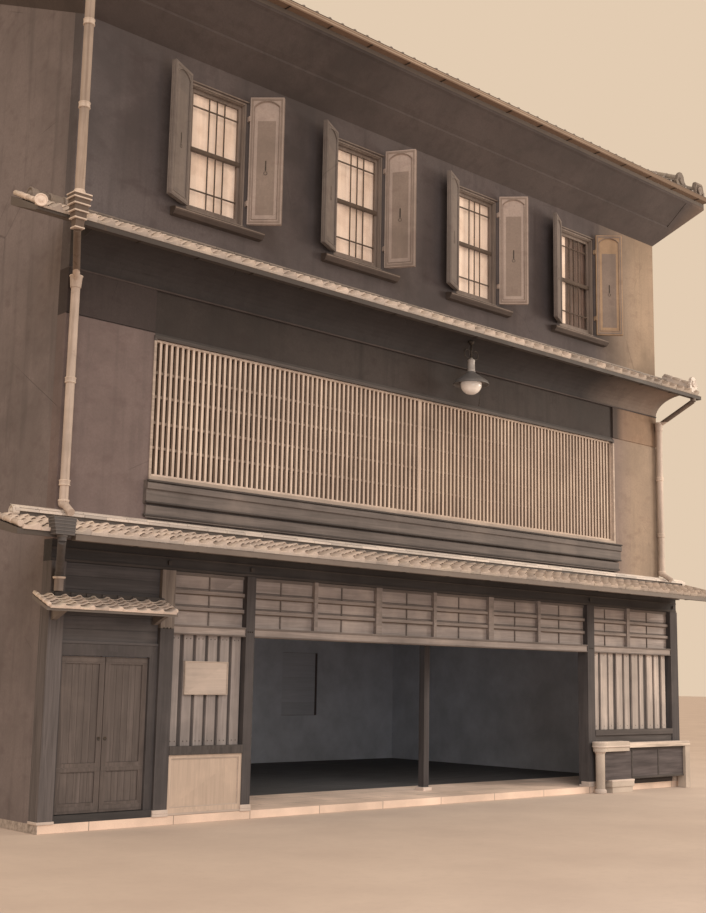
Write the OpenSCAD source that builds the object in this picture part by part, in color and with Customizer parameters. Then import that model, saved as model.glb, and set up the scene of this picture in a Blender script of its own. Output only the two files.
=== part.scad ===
// Three-storey townhouse with a shop front: plastered upper storeys, tiled pent
// roofs and a long wooden lattice.
// Millimetres. Origin on the ground under the middle of the floor; +Z up,
// the street front faces -Y, +X runs to the right along the front.

/* [Plan] */
// Left outer face of the house, from the origin
left_x = -5830; // [-5900:5:-5800]
// Right outer face of the upper storeys
right_x = 6090; // [6050:5:6200]
// Right outer face of the ground floor, which runs on past the upper storeys
shop_x = 6610; // [6560:5:6700]
// Depth of the house, outside to outside
depth = 7200; // [6600:100:9000]
// Thickness of the side walls
side_t = 180; // [160:5:185]
// Thickness of the front and rear walls
wall_t = 200; // [180:5:220]

/* [Levels] */
// Top of the ground floor slab
slab_h = 100; // [60:5:120]
// Underside of the shop lintel
lintel_z = 2235; // [2200:5:2260]
// Underside of the front girder
girder_z = 3000; // [2980:5:3010]
// Upper face of the second storey's floor
floor2_z = 3250; // [3240:5:3260]
// Upper face of the third storey's floor
floor3_z = 6650; // [6640:5:6700]
// Where the plaster of the main eaves starts to flare
cornice_z = 9657; // [9600:1:9700]

/* [Main roof] */
// Rise of the roof for each unit of run
pitch = 0.45; // [0.40:0.01:0.50]
// Overhang of the main eaves, front and rear
eave_out = 756; // [700:2:800]
// Overhang of the gable verges
verge_out = 550; // [500:1:570]
// Underside of the roof boards at the eave edge
eave_z = 10344; // [10320:1:10380]
// Thickness of the roof boards and bedding, measured upright
roof_t = 136; // [120:1:150]

/* [Pent roofs] */
// Overhang of the pent roof over the shop
low_out = 870; // [800:10:900]
// Left end of the pent roof over the shop
low_x0 = -6743; // [-6760:1:-6700]
// Right end of the pent roof over the shop
low_x1 = 6743; // [6700:1:6760]
// Overhang of the pent roof under the third storey
mid_out = 640; // [600:10:660]
// Left end of the pent roof under the third storey
mid_x0 = -6620; // [-6650:1:-6560]
// Right end of the pent roof under the third storey
mid_x1 = 6500; // [6450:1:6560]

/* [Lattice] */
// Left edge of the lattice
lat_x0 = -4590; // [-4600:5:-4560]
// Right edge of the lattice
lat_x1 = 4800; // [4780:5:4820]
// Lower edge of the lattice
lat_z0 = 4090; // [4080:5:4100]
// Upper edge of the lattice
lat_z1 = 5860; // [5850:5:5870]
// Upright bars in each half of the lattice
lat_n = 55; // [50:1:56]
// Width of a bar
lat_w = 34; // [30:1:38]

/* [Windows] */
// Left edge of the first window
win_x = -4220; // [-4240:5:-4200]
// Spacing of the windows
win_step = 2528; // [2500:2:2540]
// Width of a window over its frame
win_w = 922; // [900:2:930]
// Sill level of the third storey's windows
win_z0 = 7584; // [7570:2:7600]
// Head level of the third storey's windows
win_z1 = 9331; // [9320:2:9340]
// Width of one shutter leaf
leaf_w = 452; // [440:2:460]
// Height of a shutter leaf
leaf_h = 1780; // [1760:2:1800]

/* [Entrance] */
// Left edge of the left door leaf
door_x = -5600; // [-5605:1:-5595]
// Width of one door leaf
door_w = 576; // [570:1:578]
// Gap between the two leaves
door_gap = 8; // [8:1:10]
// Underside of the door leaves
door_z0 = 190; // [190:1:194]
// Top of the door leaves
door_z1 = 1940; // [1930:1:1945]
// Thickness of a door leaf
door_t = 40; // [36:1:44]

/* [Hidden] */
$fn = 32;
yf = -depth / 2;
yr = depth / 2;
inner_x0 = left_x + side_t;
inner_x1 = right_x - side_t;
plaster = [0.33, 0.29, 0.26];
timber = [0.28, 0.21, 0.16];
board = [0.50, 0.42, 0.34];
pale_wood = [0.72, 0.66, 0.56];
tile = [0.60, 0.56, 0.50];
stone = [0.70, 0.66, 0.60];
metal = [0.55, 0.52, 0.48];

// posts of the shop front: left edge and width
post_x = [left_x, -4324, -3028, 4019, 6394];
post_w = [190, 196, 140, 183, shop_x - 6394];
post_d = 200;
// inner post, set back in the shop
inner_post = [1185, yf + 948, 110];

// third-storey windows
function wx(i) = win_x + i * win_step;
// rear windows of the second storey
rear2_z0 = 4200;
rear2_z1 = 5800;
// rear slatted openings of the ground floor
rear1_z0 = 1000;
rear1_z1 = 2235;

// slope of the pent roofs: level of the boards' upper face at wall and edge
low_wall_z = 3450;
low_edge_z = 3222;
mid_wall_z = 7110;
mid_edge_z = 6825;
cove_z = 6455;

// main roof: boards' underside and upper face at a distance y from the ridge line
function under(y) = eave_z + pitch * (depth / 2 + eave_out - abs(y));
function over(y) = under(y) + roof_t;

module bx(x0, x1, y0, y1, z0, z1) {
    translate([x0, y0, z0]) cube([x1 - x0, y1 - y0, z1 - z0]);
}
// an outline in (y, z) drawn out along x
module along_x(x0, x1, pts) {
    translate([x0, 0, 0]) rotate([90, 0, 90]) linear_extrude(x1 - x0) polygon(pts);
}
// an outline in (x, z) drawn out along y
module along_y(y0, y1, pts) {
    translate([0, y1, 0]) rotate([90, 0, 0]) linear_extrude(y1 - y0) polygon(pts);
}
// a straight round bar between two points
module bar(a, b, r) {
    d = b - a;
    l = norm(d);
    translate(a) rotate([0, acos(d[2] / l), atan2(d[1], d[0])]) cylinder(h = l, r = r);
}
module front_and_rear() {
    children();
    mirror([0, 1, 0]) children();
}

module ground_floor() color(stone)
    bx(left_x, shop_x, yf, yr, 0, slab_h);

module front_posts() color(timber) {
    for (i = [0:4])
        bx(post_x[i], post_x[i] + post_w[i], yf, yf + post_d, slab_h, girder_z);
    bx(inner_post[0] - inner_post[2] / 2, inner_post[0] + inner_post[2] / 2,
       inner_post[1] - inner_post[2] / 2, inner_post[1] + inner_post[2] / 2,
       slab_h, floor2_z - 200);
}

module shop_lintel() color(timber)
    for (i = [1:3])
        bx(post_x[i] + post_w[i], post_x[i + 1], yf + 12, yf + 168, lintel_z, lintel_z + 120);

module front_girder() color(timber)
    bx(left_x, shop_x, yf + 20, yf + post_d, girder_z, floor2_z);

module transom_boards() color(board)
    for (i = [1:3])
        bx(post_x[i] + post_w[i], post_x[i + 1], yf + 90, yf + 115, lintel_z + 120, girder_z);

// two rails and the upright struts in front of the boards
module transom_rails() color(timber) {
    strut_x = [[], [], [-1835, -670, 459, 1688, 2829], [5197]];
    strut_w = [[], [], [60, 110, 60, 110, 60], [80]];
    for (i = [1:3]) {
        x0 = post_x[i] + post_w[i];
        x1 = post_x[i + 1];
        for (z = [2535, 2738]) bx(x0, x1, yf + 50, yf + 90, z, z + 42);
        if (len(strut_x[i]) > 0)
            for (k = [0:len(strut_x[i]) - 1])
                bx(strut_x[i][k] - strut_w[i][k] / 2, strut_x[i][k] + strut_w[i][k] / 2,
                   yf + 30, yf + 90, lintel_z + 120, girder_z);
    }
}

module wall_over_door() color(timber) {
    bx(post_x[0] + post_w[0], post_x[1], yf + 60, yf + 160, 2080, girder_z);
}

// jambs, head and the fixed panel to the right of the leaves
module door_frame() color(timber) {
    x1 = door_x + 2 * door_w + door_gap;
    bx(post_x[0] + post_w[0], door_x - 5, yf + 40, yf + 104, slab_h + 83, 2080);
    bx(x1 + 5, post_x[1], yf + 40, yf + 104, slab_h + 83, 2080);
    bx(door_x - 5, x1 + 5, yf + 40, yf + 160, door_z1 + 6, 2080);
    translate([door_x - 2.5, hinge_y, 0]) jamb_hinges();
    translate([x1 + 2.5, hinge_y, 0]) mirror([1, 0, 0]) jamb_hinges();
}

// butt hinges behind the leaves, drawn from the left leaf's axis
hinge_y = yf + 118;
hinge_z = [330, 1010, 1690];
module jamb_hinges()
    for (z = hinge_z) {
        bx(-34, -2.5, -14, -11, z + 31, z + 59);
        bx(-7.5, -2.5, -14, 0, z + 31, z + 59);
        translate([0, 0, z + 31]) cylinder(h = 28, r = 7);
    }
module leaf_hinges()
    for (z = hinge_z) {
        bx(10, 62, -8, -5, z, z + 90);
        for (k = [0, 64]) {
            bx(0, 11, -8, -5, z + k, z + k + 26);
            translate([0, 0, z + k]) cylinder(h = 26, r = 7);
        }
    }
module door_hinges_left() color(metal) translate([door_x - 2.5, hinge_y, 0]) leaf_hinges();
module door_hinges_right() color(metal)
    translate([door_x + 2 * door_w + door_gap + 2.5, hinge_y, 0]) mirror([1, 0, 0]) leaf_hinges();

module threshold() color(timber)
    bx(post_x[0] + post_w[0], post_x[1], yf + 10, yf + 190, slab_h, slab_h + 83);

// a framed leaf with an upper and a lower sunk panel on its outer face
module door_leaf(x0) {
    difference() {
        bx(x0, x0 + door_w, yf + 70, yf + 70 + door_t, door_z0, door_z1);
        bx(x0 + 70, x0 + door_w - 70, yf + 60, yf + 84, 740, door_z1 - 80);
        bx(x0 + 70, x0 + door_w - 70, yf + 60, yf + 84, door_z0 + 110, 640);
    }
}
module door_leaf_left() color(timber) door_leaf(door_x);
module door_leaf_right() color(timber) door_leaf(door_x + door_w + door_gap);

module door_canopy() color(tile) {
    // boards under the tiles, the wall rail and two brackets
    along_x(-6050, -4320, [[yf, 2560], [yf - 345, 2420], [yf - 345, 2455], [yf, 2600]]);
    for (x = [-5800, -4440])
        along_x(x, x + 60, [[yf, 2560], [yf, 2330], [yf - 40, 2340], [yf - 290, 2442.3]]);
}

module slat_screen_left() color(board) {
    bx(-4104, -3994, yf + 60, yf + 90, 905, lintel_z);
    for (i = [1:5])
        bx(-4116 + i * 184, -4116 + i * 184 + 134, yf + 60, yf + 90, 905, lintel_z);
}

module dado_left() {
    x0 = post_x[1] + post_w[1];
    x1 = post_x[2];
    color(board) difference() {
        bx(x0, x1, yf + 10, yf + 150, slab_h, 805);
        bx(x0 + 45, x1 - 45, yf - 10, yf + 22, 190, 760);
    }
    color(timber) bx(x0, x1, yf - 10, yf + 165, 805, 905);
}

module sign_board() color(pale_wood)
    bx(-3925, -3270, yf + 32, yf + 60, 1514, 1918);

// ten upright boards, wide and narrow by turns
module slat_screen_right() color(board) {
    w = [150, 170, 115, 160, 135, 165, 105, 155, 130, 105];
    for (i = [0:9])
        bx(4222 + i * 218, 4222 + i * 218 + w[i], yf + 60, yf + 90, 990, lintel_z);
}

module dado_right() color(timber) {
    x0 = post_x[3] + post_w[3];
    x1 = post_x[4];
    bx(x0, x1, yf + 20, yf + 150, slab_h, 900);
    bx(x0, x1, yf - 10, yf + 165, 900, 990);
}

// round low post with a stepped cap, a coping rail, a dark board under it and foot stones
module low_post_and_rail() {
    color(stone) {
        translate([4130, yf - 140, 0]) {
            cylinder(h = 655, r = 74);
            translate([0, 0, 655]) cylinder(h = 65, r = 112);
            translate([0, 0, 720]) cylinder(h = 80, r = 125);
        }
        bx(4130, 4815, yf - 222, yf - 58, 655, 720);
        bx(4130, 4815, yf - 235, yf - 45, 720, 800);
        bx(4815, 6580, yf - 230, yf - 50, 705, 775);
        bx(6440, 6580, yf - 220, yf - 60, 0, 705);
        bx(4330, 4930, yf - 225, yf - 55, 95, 200);
        bx(4355, 4905, yf - 210, yf - 70, 0, 95);
    }
    color(timber) bx(4180, 6440, yf - 170, yf - 130, 200, 705);
}

// sloping boards of the pent roofs over the ground floor
module lower_roofs() color(tile) front_and_rear() {
    along_x(low_x0, low_x1, [[yf, low_wall_z - 120], [yf - low_out + 30, 3163], [yf - low_out, 3163],
        [yf - low_out, low_edge_z], [yf, low_wall_z]]);
}
// stepped courses that cover the joints of the pent roofs with the walls
module roof_wall_courses() color(tile) front_and_rear() {
    along_x(low_x0 + 350, right_x + 560, [[yf, low_wall_z], [yf - 120, low_wall_z - 31.4], [yf - 120, 3532],
        [yf - 88, 3532], [yf - 88, 3558], [yf, 3580]]);
    along_x(mid_x0 + 200, mid_x1 - 60, [[yf, mid_wall_z], [yf - 150, mid_wall_z - 66.7], [yf - 150, 7120],
        [yf - 110, 7120], [yf - 110, 7165], [yf, 7215]]);
}

// lean-to strip over the part of the ground floor beside the upper wall
module side_roof() color(tile)
    along_y(yf, yr, [[right_x, floor2_z], [shop_x, floor2_z], [shop_x + 100, floor2_z - 25],
        [shop_x + 100, floor2_z + 40], [right_x, low_wall_z]]);

// side walls run up to the underside of the roof
function gable(y0, z0) = [[y0, z0], [-y0, z0], [-y0, under(y0)], [0, under(0)], [y0, under(y0)]];
module left_wall() color(plaster)
    along_x(left_x, inner_x0, gable(yf + wall_t, slab_h));
module right_wall_upper() color(plaster)
    along_x(inner_x1, right_x, gable(yf + wall_t, floor2_z));
module right_wall_ground() color(plaster)
    bx(shop_x - side_t, shop_x, yf + wall_t, yr - wall_t, slab_h, floor2_z);

// rear wall: level bands, then piers between the openings
module rear_wall_ground() color(plaster) {
    bx(left_x, shop_x, yr - wall_t, yr, slab_h, rear1_z0);
    bx(left_x, shop_x, yr - wall_t, yr, rear1_z1, floor2_z);
}
module rear_wall_bands() color(plaster) {
    bx(left_x, right_x, yr - wall_t, yr, floor2_z, rear2_z0);
    bx(left_x, right_x, yr - wall_t, yr, rear2_z1, win_z0);
    along_x(left_x, right_x, [[yr, win_z1], [yr - wall_t, win_z1],
        [yr - wall_t, under(yr - wall_t)], [yr, under(yr)]]);
}
module piers(x0, x1, y0, y1, z0, z1) {
    e = concat([x0], [for (i = [0:3]) each [wx(i), wx(i) + win_w]], [x1]);
    for (k = [0:4]) bx(e[2 * k], e[2 * k + 1], y0, y1, z0, z1);
}
module rear_wall_piers() color(plaster) {
    piers(left_x, shop_x, yr - wall_t, yr, rear1_z0, rear1_z1);
    piers(left_x, right_x, yr - wall_t, yr, rear2_z0, rear2_z1);
    piers(left_x, right_x, yr - wall_t, yr, win_z0, win_z1);
}
module rear_slat_screens() color(board)
    for (i = [0:3]) {
        for (k = [0:4])
            bx(wx(i) + 10 + k * 184, wx(i) + 10 + k * 184 + 156, yr - 90, yr - 60, rear1_z0, rear1_z1);
        bx(wx(i), wx(i) + win_w, yr - 110, yr - 90, rear1_z0, rear1_z1);
    }

module floor_2f() color(timber)
    bx(inner_x0, shop_x - side_t, yf + wall_t, yr - wall_t, floor2_z - 200, floor2_z);
module floor_3f() color(timber)
    bx(inner_x0, inner_x1, yf + wall_t, yr - wall_t, floor3_z - 150, floor3_z);

// second storey front: wide pilasters with a groove, and bands over and under the lattice
module front_wall_2f_sides() color(plaster)
    for (s = [[left_x, lat_x0], [lat_x1, right_x]])
        difference() {
            bx(s[0], s[1], yf, yf + wall_t, floor2_z, cove_z);
            bx(s[0] - 1, s[1] + 1, yf - 1, yf + 14, 5890, 5908);
        }
module front_wall_2f_bands() color(plaster) {
    bx(lat_x0, lat_x1, yf + 36, yf + wall_t, floor2_z, lat_z0);
    bx(lat_x0, lat_x1, yf + 36, yf + wall_t, lat_z1, cove_z);
}
// stepped sill moulding under the lattice
module sill_band_2f() color(timber) {
    along_x(lat_x0 - 70, lat_x1 + 70, [[yf, 3770], [yf - 70, 3785], [yf - 70, 3935], [yf - 95, 3950],
        [yf - 95, 4020], [yf - 60, 4050], [yf, 4060]]);
    along_x(lat_x0 - 50, lat_x1 + 50, [[yf, 3605], [yf - 35, 3605], [yf - 50, 3750], [yf, 3760]]);
    bx(lat_x0, lat_x1, yf, yf + 36, 3605, 4090);
}

// flat lattice: frame with end stiles of widths a and b, four cross rails and close
// upright bars, fused where they cross
module lattice(x0, x1, a, b) {
    y0 = yf + 40;
    bx(x0, x1, y0, y0 + 60, lat_z0, lat_z0 + 60);
    bx(x0, x1, y0, y0 + 60, lat_z1 - 60, lat_z1);
    bx(x0, x0 + a, y0, y0 + 60, lat_z0, lat_z1);
    bx(x1 - b, x1, y0, y0 + 60, lat_z0, lat_z1);
    for (z = [4482, 4792, 5117, 5420]) bx(x0, x1, y0 + 25, y0 + 45, z - 17, z + 17);
    p = (x1 - x0 - a - b + lat_w) / (lat_n + 1);
    for (i = [1:lat_n])
        bx(x0 + a - lat_w + i * p, x0 + a + i * p, y0 + 5, y0 + 45, lat_z0 + 30, lat_z1 - 30);
}
lat_mid = (lat_x0 + lat_x1) / 2;
module lattice_2f_left() color(pale_wood) lattice(lat_x0, lat_mid, 60, 36);
module lattice_2f_right() color(pale_wood) lattice(lat_mid, lat_x1, 36, 60);

// eight sliding paper screens behind the lattice, on two tracks
module paper_screens_2f() color([0.86, 0.82, 0.72]) {
    w = (lat_x1 - lat_x0) / 8;
    for (i = [0:7])
        bx(lat_x0 + i * w + 2, lat_x0 + (i + 1) * w - 2,
           yf + 125 + (i % 2) * 34, yf + 155 + (i % 2) * 34, lat_z0, lat_z1);
}

module pent_roofs_3f() color(tile) front_and_rear() {
    along_x(mid_x0, mid_x1, [[yf, mid_wall_z - 110], [yf - mid_out + 40, 6785], [yf - mid_out, 6785],
        [yf - mid_out, mid_edge_z], [yf, mid_wall_z]]);
}
// hollow quarter curve of plaster under the pent roofs
module pent_coves_3f() color(plaster) front_and_rear()
    along_x(left_x, right_x, concat(
        [for (a = [0:10:90]) [yf - 600 * (1 - cos(a)), cove_z + 330 * sin(a)]],
        [[yf, mid_wall_z - 110]]));

module front_wall_3f_bands() color(plaster) {
    bx(left_x, right_x, yf, yf + wall_t, cove_z, win_z0);
    along_x(left_x, right_x, [[yf, win_z1], [yf + wall_t, win_z1],
        [yf + wall_t, under(yf + wall_t)], [yf, under(yf)]]);
}
module front_wall_3f_piers() color(plaster)
    piers(left_x, right_x, yf, yf + wall_t, win_z0, win_z1);

// frame, sash stiles, rails and the meeting rail of one window
module window_frame(x0, z0, z1) {
    zm = (z0 + z1) / 2;
    difference() {
        bx(x0, x0 + win_w, yf + 35, yf + 135, z0, z1);
        bx(x0 + 50, x0 + win_w - 50, yf, yf + wall_t, z0 + 50, z1 - 50);
    }
    difference() {
        bx(x0 + 50, x0 + win_w - 50, yf + 60, yf + 98, z0 + 50, z1 - 50);
        bx(x0 + 92, x0 + win_w - 92, yf, yf + wall_t, z0 + 110, zm - 22);
        bx(x0 + 92, x0 + win_w - 92, yf, yf + wall_t, zm + 22, z1 - 95);
    }
}
module window_pane(x0, z0, z1) {
    zm = (z0 + z1) / 2;
    bx(x0 + 92, x0 + win_w - 92, yf + 76, yf + 82, z0 + 110, zm - 22);
    bx(x0 + 92, x0 + win_w - 92, yf + 76, yf + 82, zm + 22, z1 - 95);
}
module each_window() {
    for (i = [0:3]) translate([i * win_step, 0, 0]) {
        children(0);
        mirror([0, 1, 0]) children(0);
        mirror([0, 1, 0]) children(1);
    }
}
module window_frames() color(pale_wood) each_window() {
    window_frame(win_x, win_z0, win_z1);
    window_frame(win_x, rear2_z0, rear2_z1);
}
module window_panes() color([0.80, 0.82, 0.80]) each_window() {
    window_pane(win_x, win_z0, win_z1);
    window_pane(win_x, rear2_z0, rear2_z1);
}
module window_sill(z0) {
    along_x(win_x - 237, win_x + win_w + 274, [[yf, z0 - 130], [yf - 80, z0 - 120], [yf - 120, z0 - 75],
        [yf - 120, z0 - 35], [yf, z0 - 15]]);
}
module window_sills() color(timber) each_window() {
    window_sill(win_z0);
    window_sill(rear2_z0);
}

// a thick leaf with a sunk, arched panel on the face that shows when it is open
module shutter(w = leaf_w) {
    difference() {
        translate([0, -30, 0]) cube([w, 60, leaf_h]);
        translate([60, 18, 70]) cube([w - 120, 40, leaf_h - 70 - 60 - (w - 120) / 4]);
        intersection() {
            translate([60, 18, leaf_h - 60 - (w - 120) / 4 - 200]) cube([w - 120, 40, (w - 120) / 4 + 200]);
            translate([w / 2, 18, leaf_h - 60 - (w - 120) * 0.625])
                rotate([-90, 0, 0]) cylinder(h = 40, r = (w - 120) * 0.625, $fn = 48);
        }
        translate([w / 2, 10, leaf_h * 0.4]) rotate([-90, 0, 0]) cylinder(h = 40, r = 22);
    }
}
leaf_z = win_z0 + 37;
// two knuckles, each on a block let into the wall's face
module hinge_blocks(x) {
    for (z = [leaf_z + 260, leaf_z + leaf_h - 330]) {
        translate([x, yf - 42, z]) cylinder(h = 70, r = 24);
        bx(x - 18, x + 18, yf - 42, yf, z, z + 70);
    }
}
// opening angles from the wall plane
left_open = [27, 28, 26, 28];
right_open = [45, 58, 47, 42];
module shutters_left() color(board)
    for (i = [0:3]) {
        translate([wx(i) - 30, yf - 42, leaf_z]) rotate([0, 0, left_open[i]])
            mirror([1, 0, 0]) mirror([0, 1, 0]) shutter();
        hinge_blocks(wx(i) - 30);
    }
module shutters_right() color(board)
    for (i = [0:3]) {
        translate([wx(i) + win_w + 30, yf - 42, leaf_z]) rotate([0, 0, -right_open[i]])
            mirror([0, 1, 0]) shutter();
        hinge_blocks(wx(i) + win_w + 30);
    }

// flared plaster cornice under the eaves, with one step
module eave_cornices() color(plaster) front_and_rear()
    along_x(left_x, right_x, [[yf, cornice_z], [yf - 330, cornice_z + 268], [yf - 330, cornice_z + 300],
        [yf - 400, cornice_z + 350], [yf - eave_out + 40, eave_z - 66], [yf - eave_out, eave_z - 43],
        [yf - eave_out, eave_z], [yf, under(yf)]]);

// the same flare turned up the gables
module verge_cornice(x, s) {
    ye = yf - eave_out;
    zi = cornice_z + pitch * depth / 2;
    hull() {
        translate([s > 0 ? x : x - 1, 0, 0]) rotate([90, 0, 90]) linear_extrude(1)
            polygon([[yf, cornice_z], [0, zi], [0, under(0)], [ye, eave_z], [ye, eave_z - 43]]);
        translate([s > 0 ? x + verge_out - 1 : x - verge_out, 0, 0]) rotate([90, 0, 90]) linear_extrude(1)
            polygon([[ye, eave_z - 43], [0, under(0) - 43], [0, under(0)], [ye, eave_z]]);
    }
}
module verge_cornices() color(plaster) front_and_rear() {
    verge_cornice(right_x, 1);
    verge_cornice(left_x, -1);
}

module main_roof_half() {
    along_x(left_x - verge_out, right_x + verge_out,
        [[yf - eave_out, eave_z], [0, under(0)], [0, over(0)], [yf - eave_out, over(yf - eave_out)]]);
}
module main_roof_front() color(tile) main_roof_half();
module main_roof_rear() color(tile) mirror([0, 1, 0]) main_roof_half();

// stacked ridge with a round top course
ridge_z = over(0);
module roof_ridges() color(tile) {
    x0 = left_x - verge_out + 90;
    x1 = right_x + verge_out - 90;
    difference() {
        union() {
            bx(x0, x1, -230, 230, ridge_z - 103.5, ridge_z + 60);
            bx(x0, x1, -190, 190, ridge_z + 60, ridge_z + 130);
            bx(x0, x1, -160, 160, ridge_z + 130, ridge_z + 200);
            bx(x0, x1, -130, 130, ridge_z + 200, ridge_z + 260);
            translate([x0, 0, ridge_z + 260]) rotate([0, 90, 0]) cylinder(h = x1 - x0, r = 95);
        }
        along_x(x0 - 1, x1 + 1, [[-400, over(-400)], [0, over(0)], [400, over(400)], [400, 12000], [-400, 12000]]);
    }
}

// end tile of a ridge: a shouldered plate with a round boss
module end_tile(w, h, t) {
    rotate([90, 0, 90]) linear_extrude(t)
        polygon([[-w / 2, 0], [w / 2, 0], [w * 0.42, h * 0.35], [w * 0.5, h * 0.5], [w * 0.36, h * 0.62],
            [w * 0.3, h * 0.85], [w * 0.12, h], [-w * 0.12, h], [-w * 0.3, h * 0.85], [-w * 0.36, h * 0.62],
            [-w * 0.5, h * 0.5], [-w * 0.42, h * 0.35]]);
    translate([t, 0, h * 0.55]) rotate([0, 90, 0]) cylinder(h = 30, r = w * 0.2);
}
// both ends of the roof, measured from the edge of the right verge
module each_verge() {
    for (s = [0, 1]) translate([(left_x + right_x) / 2, 0, 0]) mirror([s, 0, 0])
        translate([(right_x - left_x) / 2 + verge_out, 0, 0]) children();
}
module roof_end_tiles() color(tile) each_verge() {
    translate([-90, 0, 0]) difference() {
        translate([0, 0, ridge_z - 80]) end_tile(620, 500, 60);
        along_x(-5, 200, [[-400, over(-400)], [0, over(0)], [400, over(400)], [400, 12000], [-400, 12000]]);
    }
    front_and_rear() {
        // end tile of the ridge that runs down the slope
        difference() {
            translate([fall_x, yf - 560, over(yf - 615)]) rotate([0, 0, -90]) end_tile(300, 380, 55);
            along_x(fall_x - 200, fall_x + 200, [[yf - 700, over(yf - 700)], [yf - 500, over(yf - 500)],
                [yf - 500, 10300], [yf - 700, 10300]]);
        }
        // shouldered tile at the corner of the eaves
        difference() {
            along_y(yf - eave_out, yf - eave_out + 60, [for (p = [[-290, 0], [0, 0], [0, 190], [-40, 300],
                [-250, 300], [-290, 190]]) [p[0], p[1] + over(yf - eave_out)]]);
            along_x(-300, 10, [[yf - eave_out, over(yf - eave_out)], [yf - eave_out + 70, over(yf - eave_out + 70)],
                [yf - eave_out + 70, 10300], [yf - eave_out, 10300]]);
        }
    }
}

// raised courses that run down the slopes: one set in from each verge, one along it
fall_x = -506;
module roof_course(x0, x1, y0, y1, h)
    along_x(x0, x1, [[y0, over(y0)], [y1, over(y1)], [y1, over(y1) + h], [y0, over(y0) + h]]);
module verge_ridges() color(tile) each_verge() front_and_rear() {
    roof_course(fall_x - 100, fall_x + 100, yf - 560, -230, 170);
    roof_course(fall_x - 60, fall_x + 60, yf - 560, -230, 240);
    roof_course(-160, 0, yf - eave_out + 60, -312, 150);
}

// square trough under the front and rear eaves and under both front pent roofs
module trough(x0, x1, y, z, w, h, t) {
    difference() {
        bx(x0, x1, y - w, y, z, z + h);
        bx(x0 + t, x1 - t, y - w + t, y - t, z + t, z + h + 1);
    }
}
module gutters() color(metal) {
    front_and_rear() trough(left_x - verge_out + 20, right_x + verge_out - 20, yf - eave_out, eave_z + 64, 110, 80, 8);
    trough(mid_x0 + 420, mid_x1 - 60, yf - mid_out, 6725, 80, 60, 6);
    trough(-6100, low_x1 - 80, yf - low_out, 3142, 84, 58, 6);
}

// from the main trough down to a hopper at the pent roof, back to the wall and down
module downpipe_left() color(metal) {
    px = -6212;
    py = yf - eave_out - 58;
    wxp = -5769;
    wy = yf - 75;
    translate([px, py, 7000]) cylinder(h = eave_z + 64 - 7000, r = 55);
    for (z = [9060, 8050]) translate([px, py, z]) cylinder(h = 45, r = 62);
    // stepped hopper
    bx(px - 106, px + 106, py - 90, py + 76, 6950, 7010);
    bx(px - 96, px + 96, py - 82, py + 68, 6880, 6950);
    bx(px - 84, px + 84, py - 72, py + 60, 6800, 6880);
    bx(px - 72, px + 72, py - 62, py + 54, 6720, 6800);
    bx(px - 54, px + 54, py - 50, py + 46, 6610, 6720);
    bar([px, py, 6610], [wxp, wy, 6290], 42);
    // bell and lower length against the wall
    translate([wxp, wy, 6190]) cylinder(h = 140, r1 = 62, r2 = 74);
    wall_pipe(wxp, wy, 6200, [5060, 3860]);
}
// round pipe against the wall with collars and a bent shoe over the tiles
module wall_pipe(x, y, z1, collars) {
    translate([x, y, 3650]) cylinder(h = z1 - 3650, r = 52);
    for (z = collars) translate([x, y, z]) cylinder(h = 45, r = 62);
    for (z = collars) bx(x - 20, x + 20, y, yf, z + 5, z + 40);
    translate([x, y, 3650]) sphere(r = 60);
    bar([x, y, 3650], [x, yf - 260, 3525], 44);
}

module downpipe_right() color(metal) {
    wxp = 6065;
    wy = yf - 75;
    translate([6240, yf - mid_out - 40, 6665]) cylinder(h = 60, r = 48);
    bar([6240, yf - mid_out - 40, 6676], [wxp, wy, 6290], 42);
    translate([wxp, wy, 6190]) cylinder(h = 140, r1 = 62, r2 = 74);
    wall_pipe(wxp, wy, 6200, [5300, 4300]);
}

// hopper at the eave over the shop, a pipe back to the wall and down behind the canopy
module eave_hopper() color(metal) {
    y0 = yf - low_out;
    difference() {
        along_y(y0 - 130, y0, [[-6362, 3182], [-6142, 3182], [-6125, 3366], [-6395, 3366]]);
        along_y(y0 - 122, y0 - 8, [[-6352, 3195], [-6152, 3195], [-6133, 3370], [-6387, 3370]]);
    }
    translate([-6252, y0 - 65, 3120]) cylinder(h = 70, r = 48);
    bar([-6252, y0 - 65, 3125], [-5769, yf - 75, 2850], 45);
    translate([-5769, yf - 75, 2655]) cylinder(h = 210, r = 52);
    bx(-5789, -5749, yf - 75, yf, 2770, 2800);
}

// lamp hung from the plaster cove: rod, neck, dished shade and globe
module street_lamp() {
    lx = 750;
    ly = yf - 390;
    color(metal) translate([lx, ly, 0]) {
        translate([0, 0, 6466]) cylinder(h = 290, r = 16);
        translate([0, 0, 6728]) cylinder(h = 22, r = 44);
        translate([0, 0, 6280]) cylinder(h = 186, r = 57);
        rotate_extrude() polygon([[0, 6140], [215, 6140], [255, 6085], [268, 6090], [240, 6160],
            [150, 6225], [70, 6270], [62, 6290], [0, 6290]]);
    }
    color([0.93, 0.92, 0.88]) intersection() {
        translate([lx, ly, 6095]) sphere(r = 160);
        translate([lx - 200, ly - 200, 5900]) cube([400, 400, 240]);
    }
}

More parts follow.
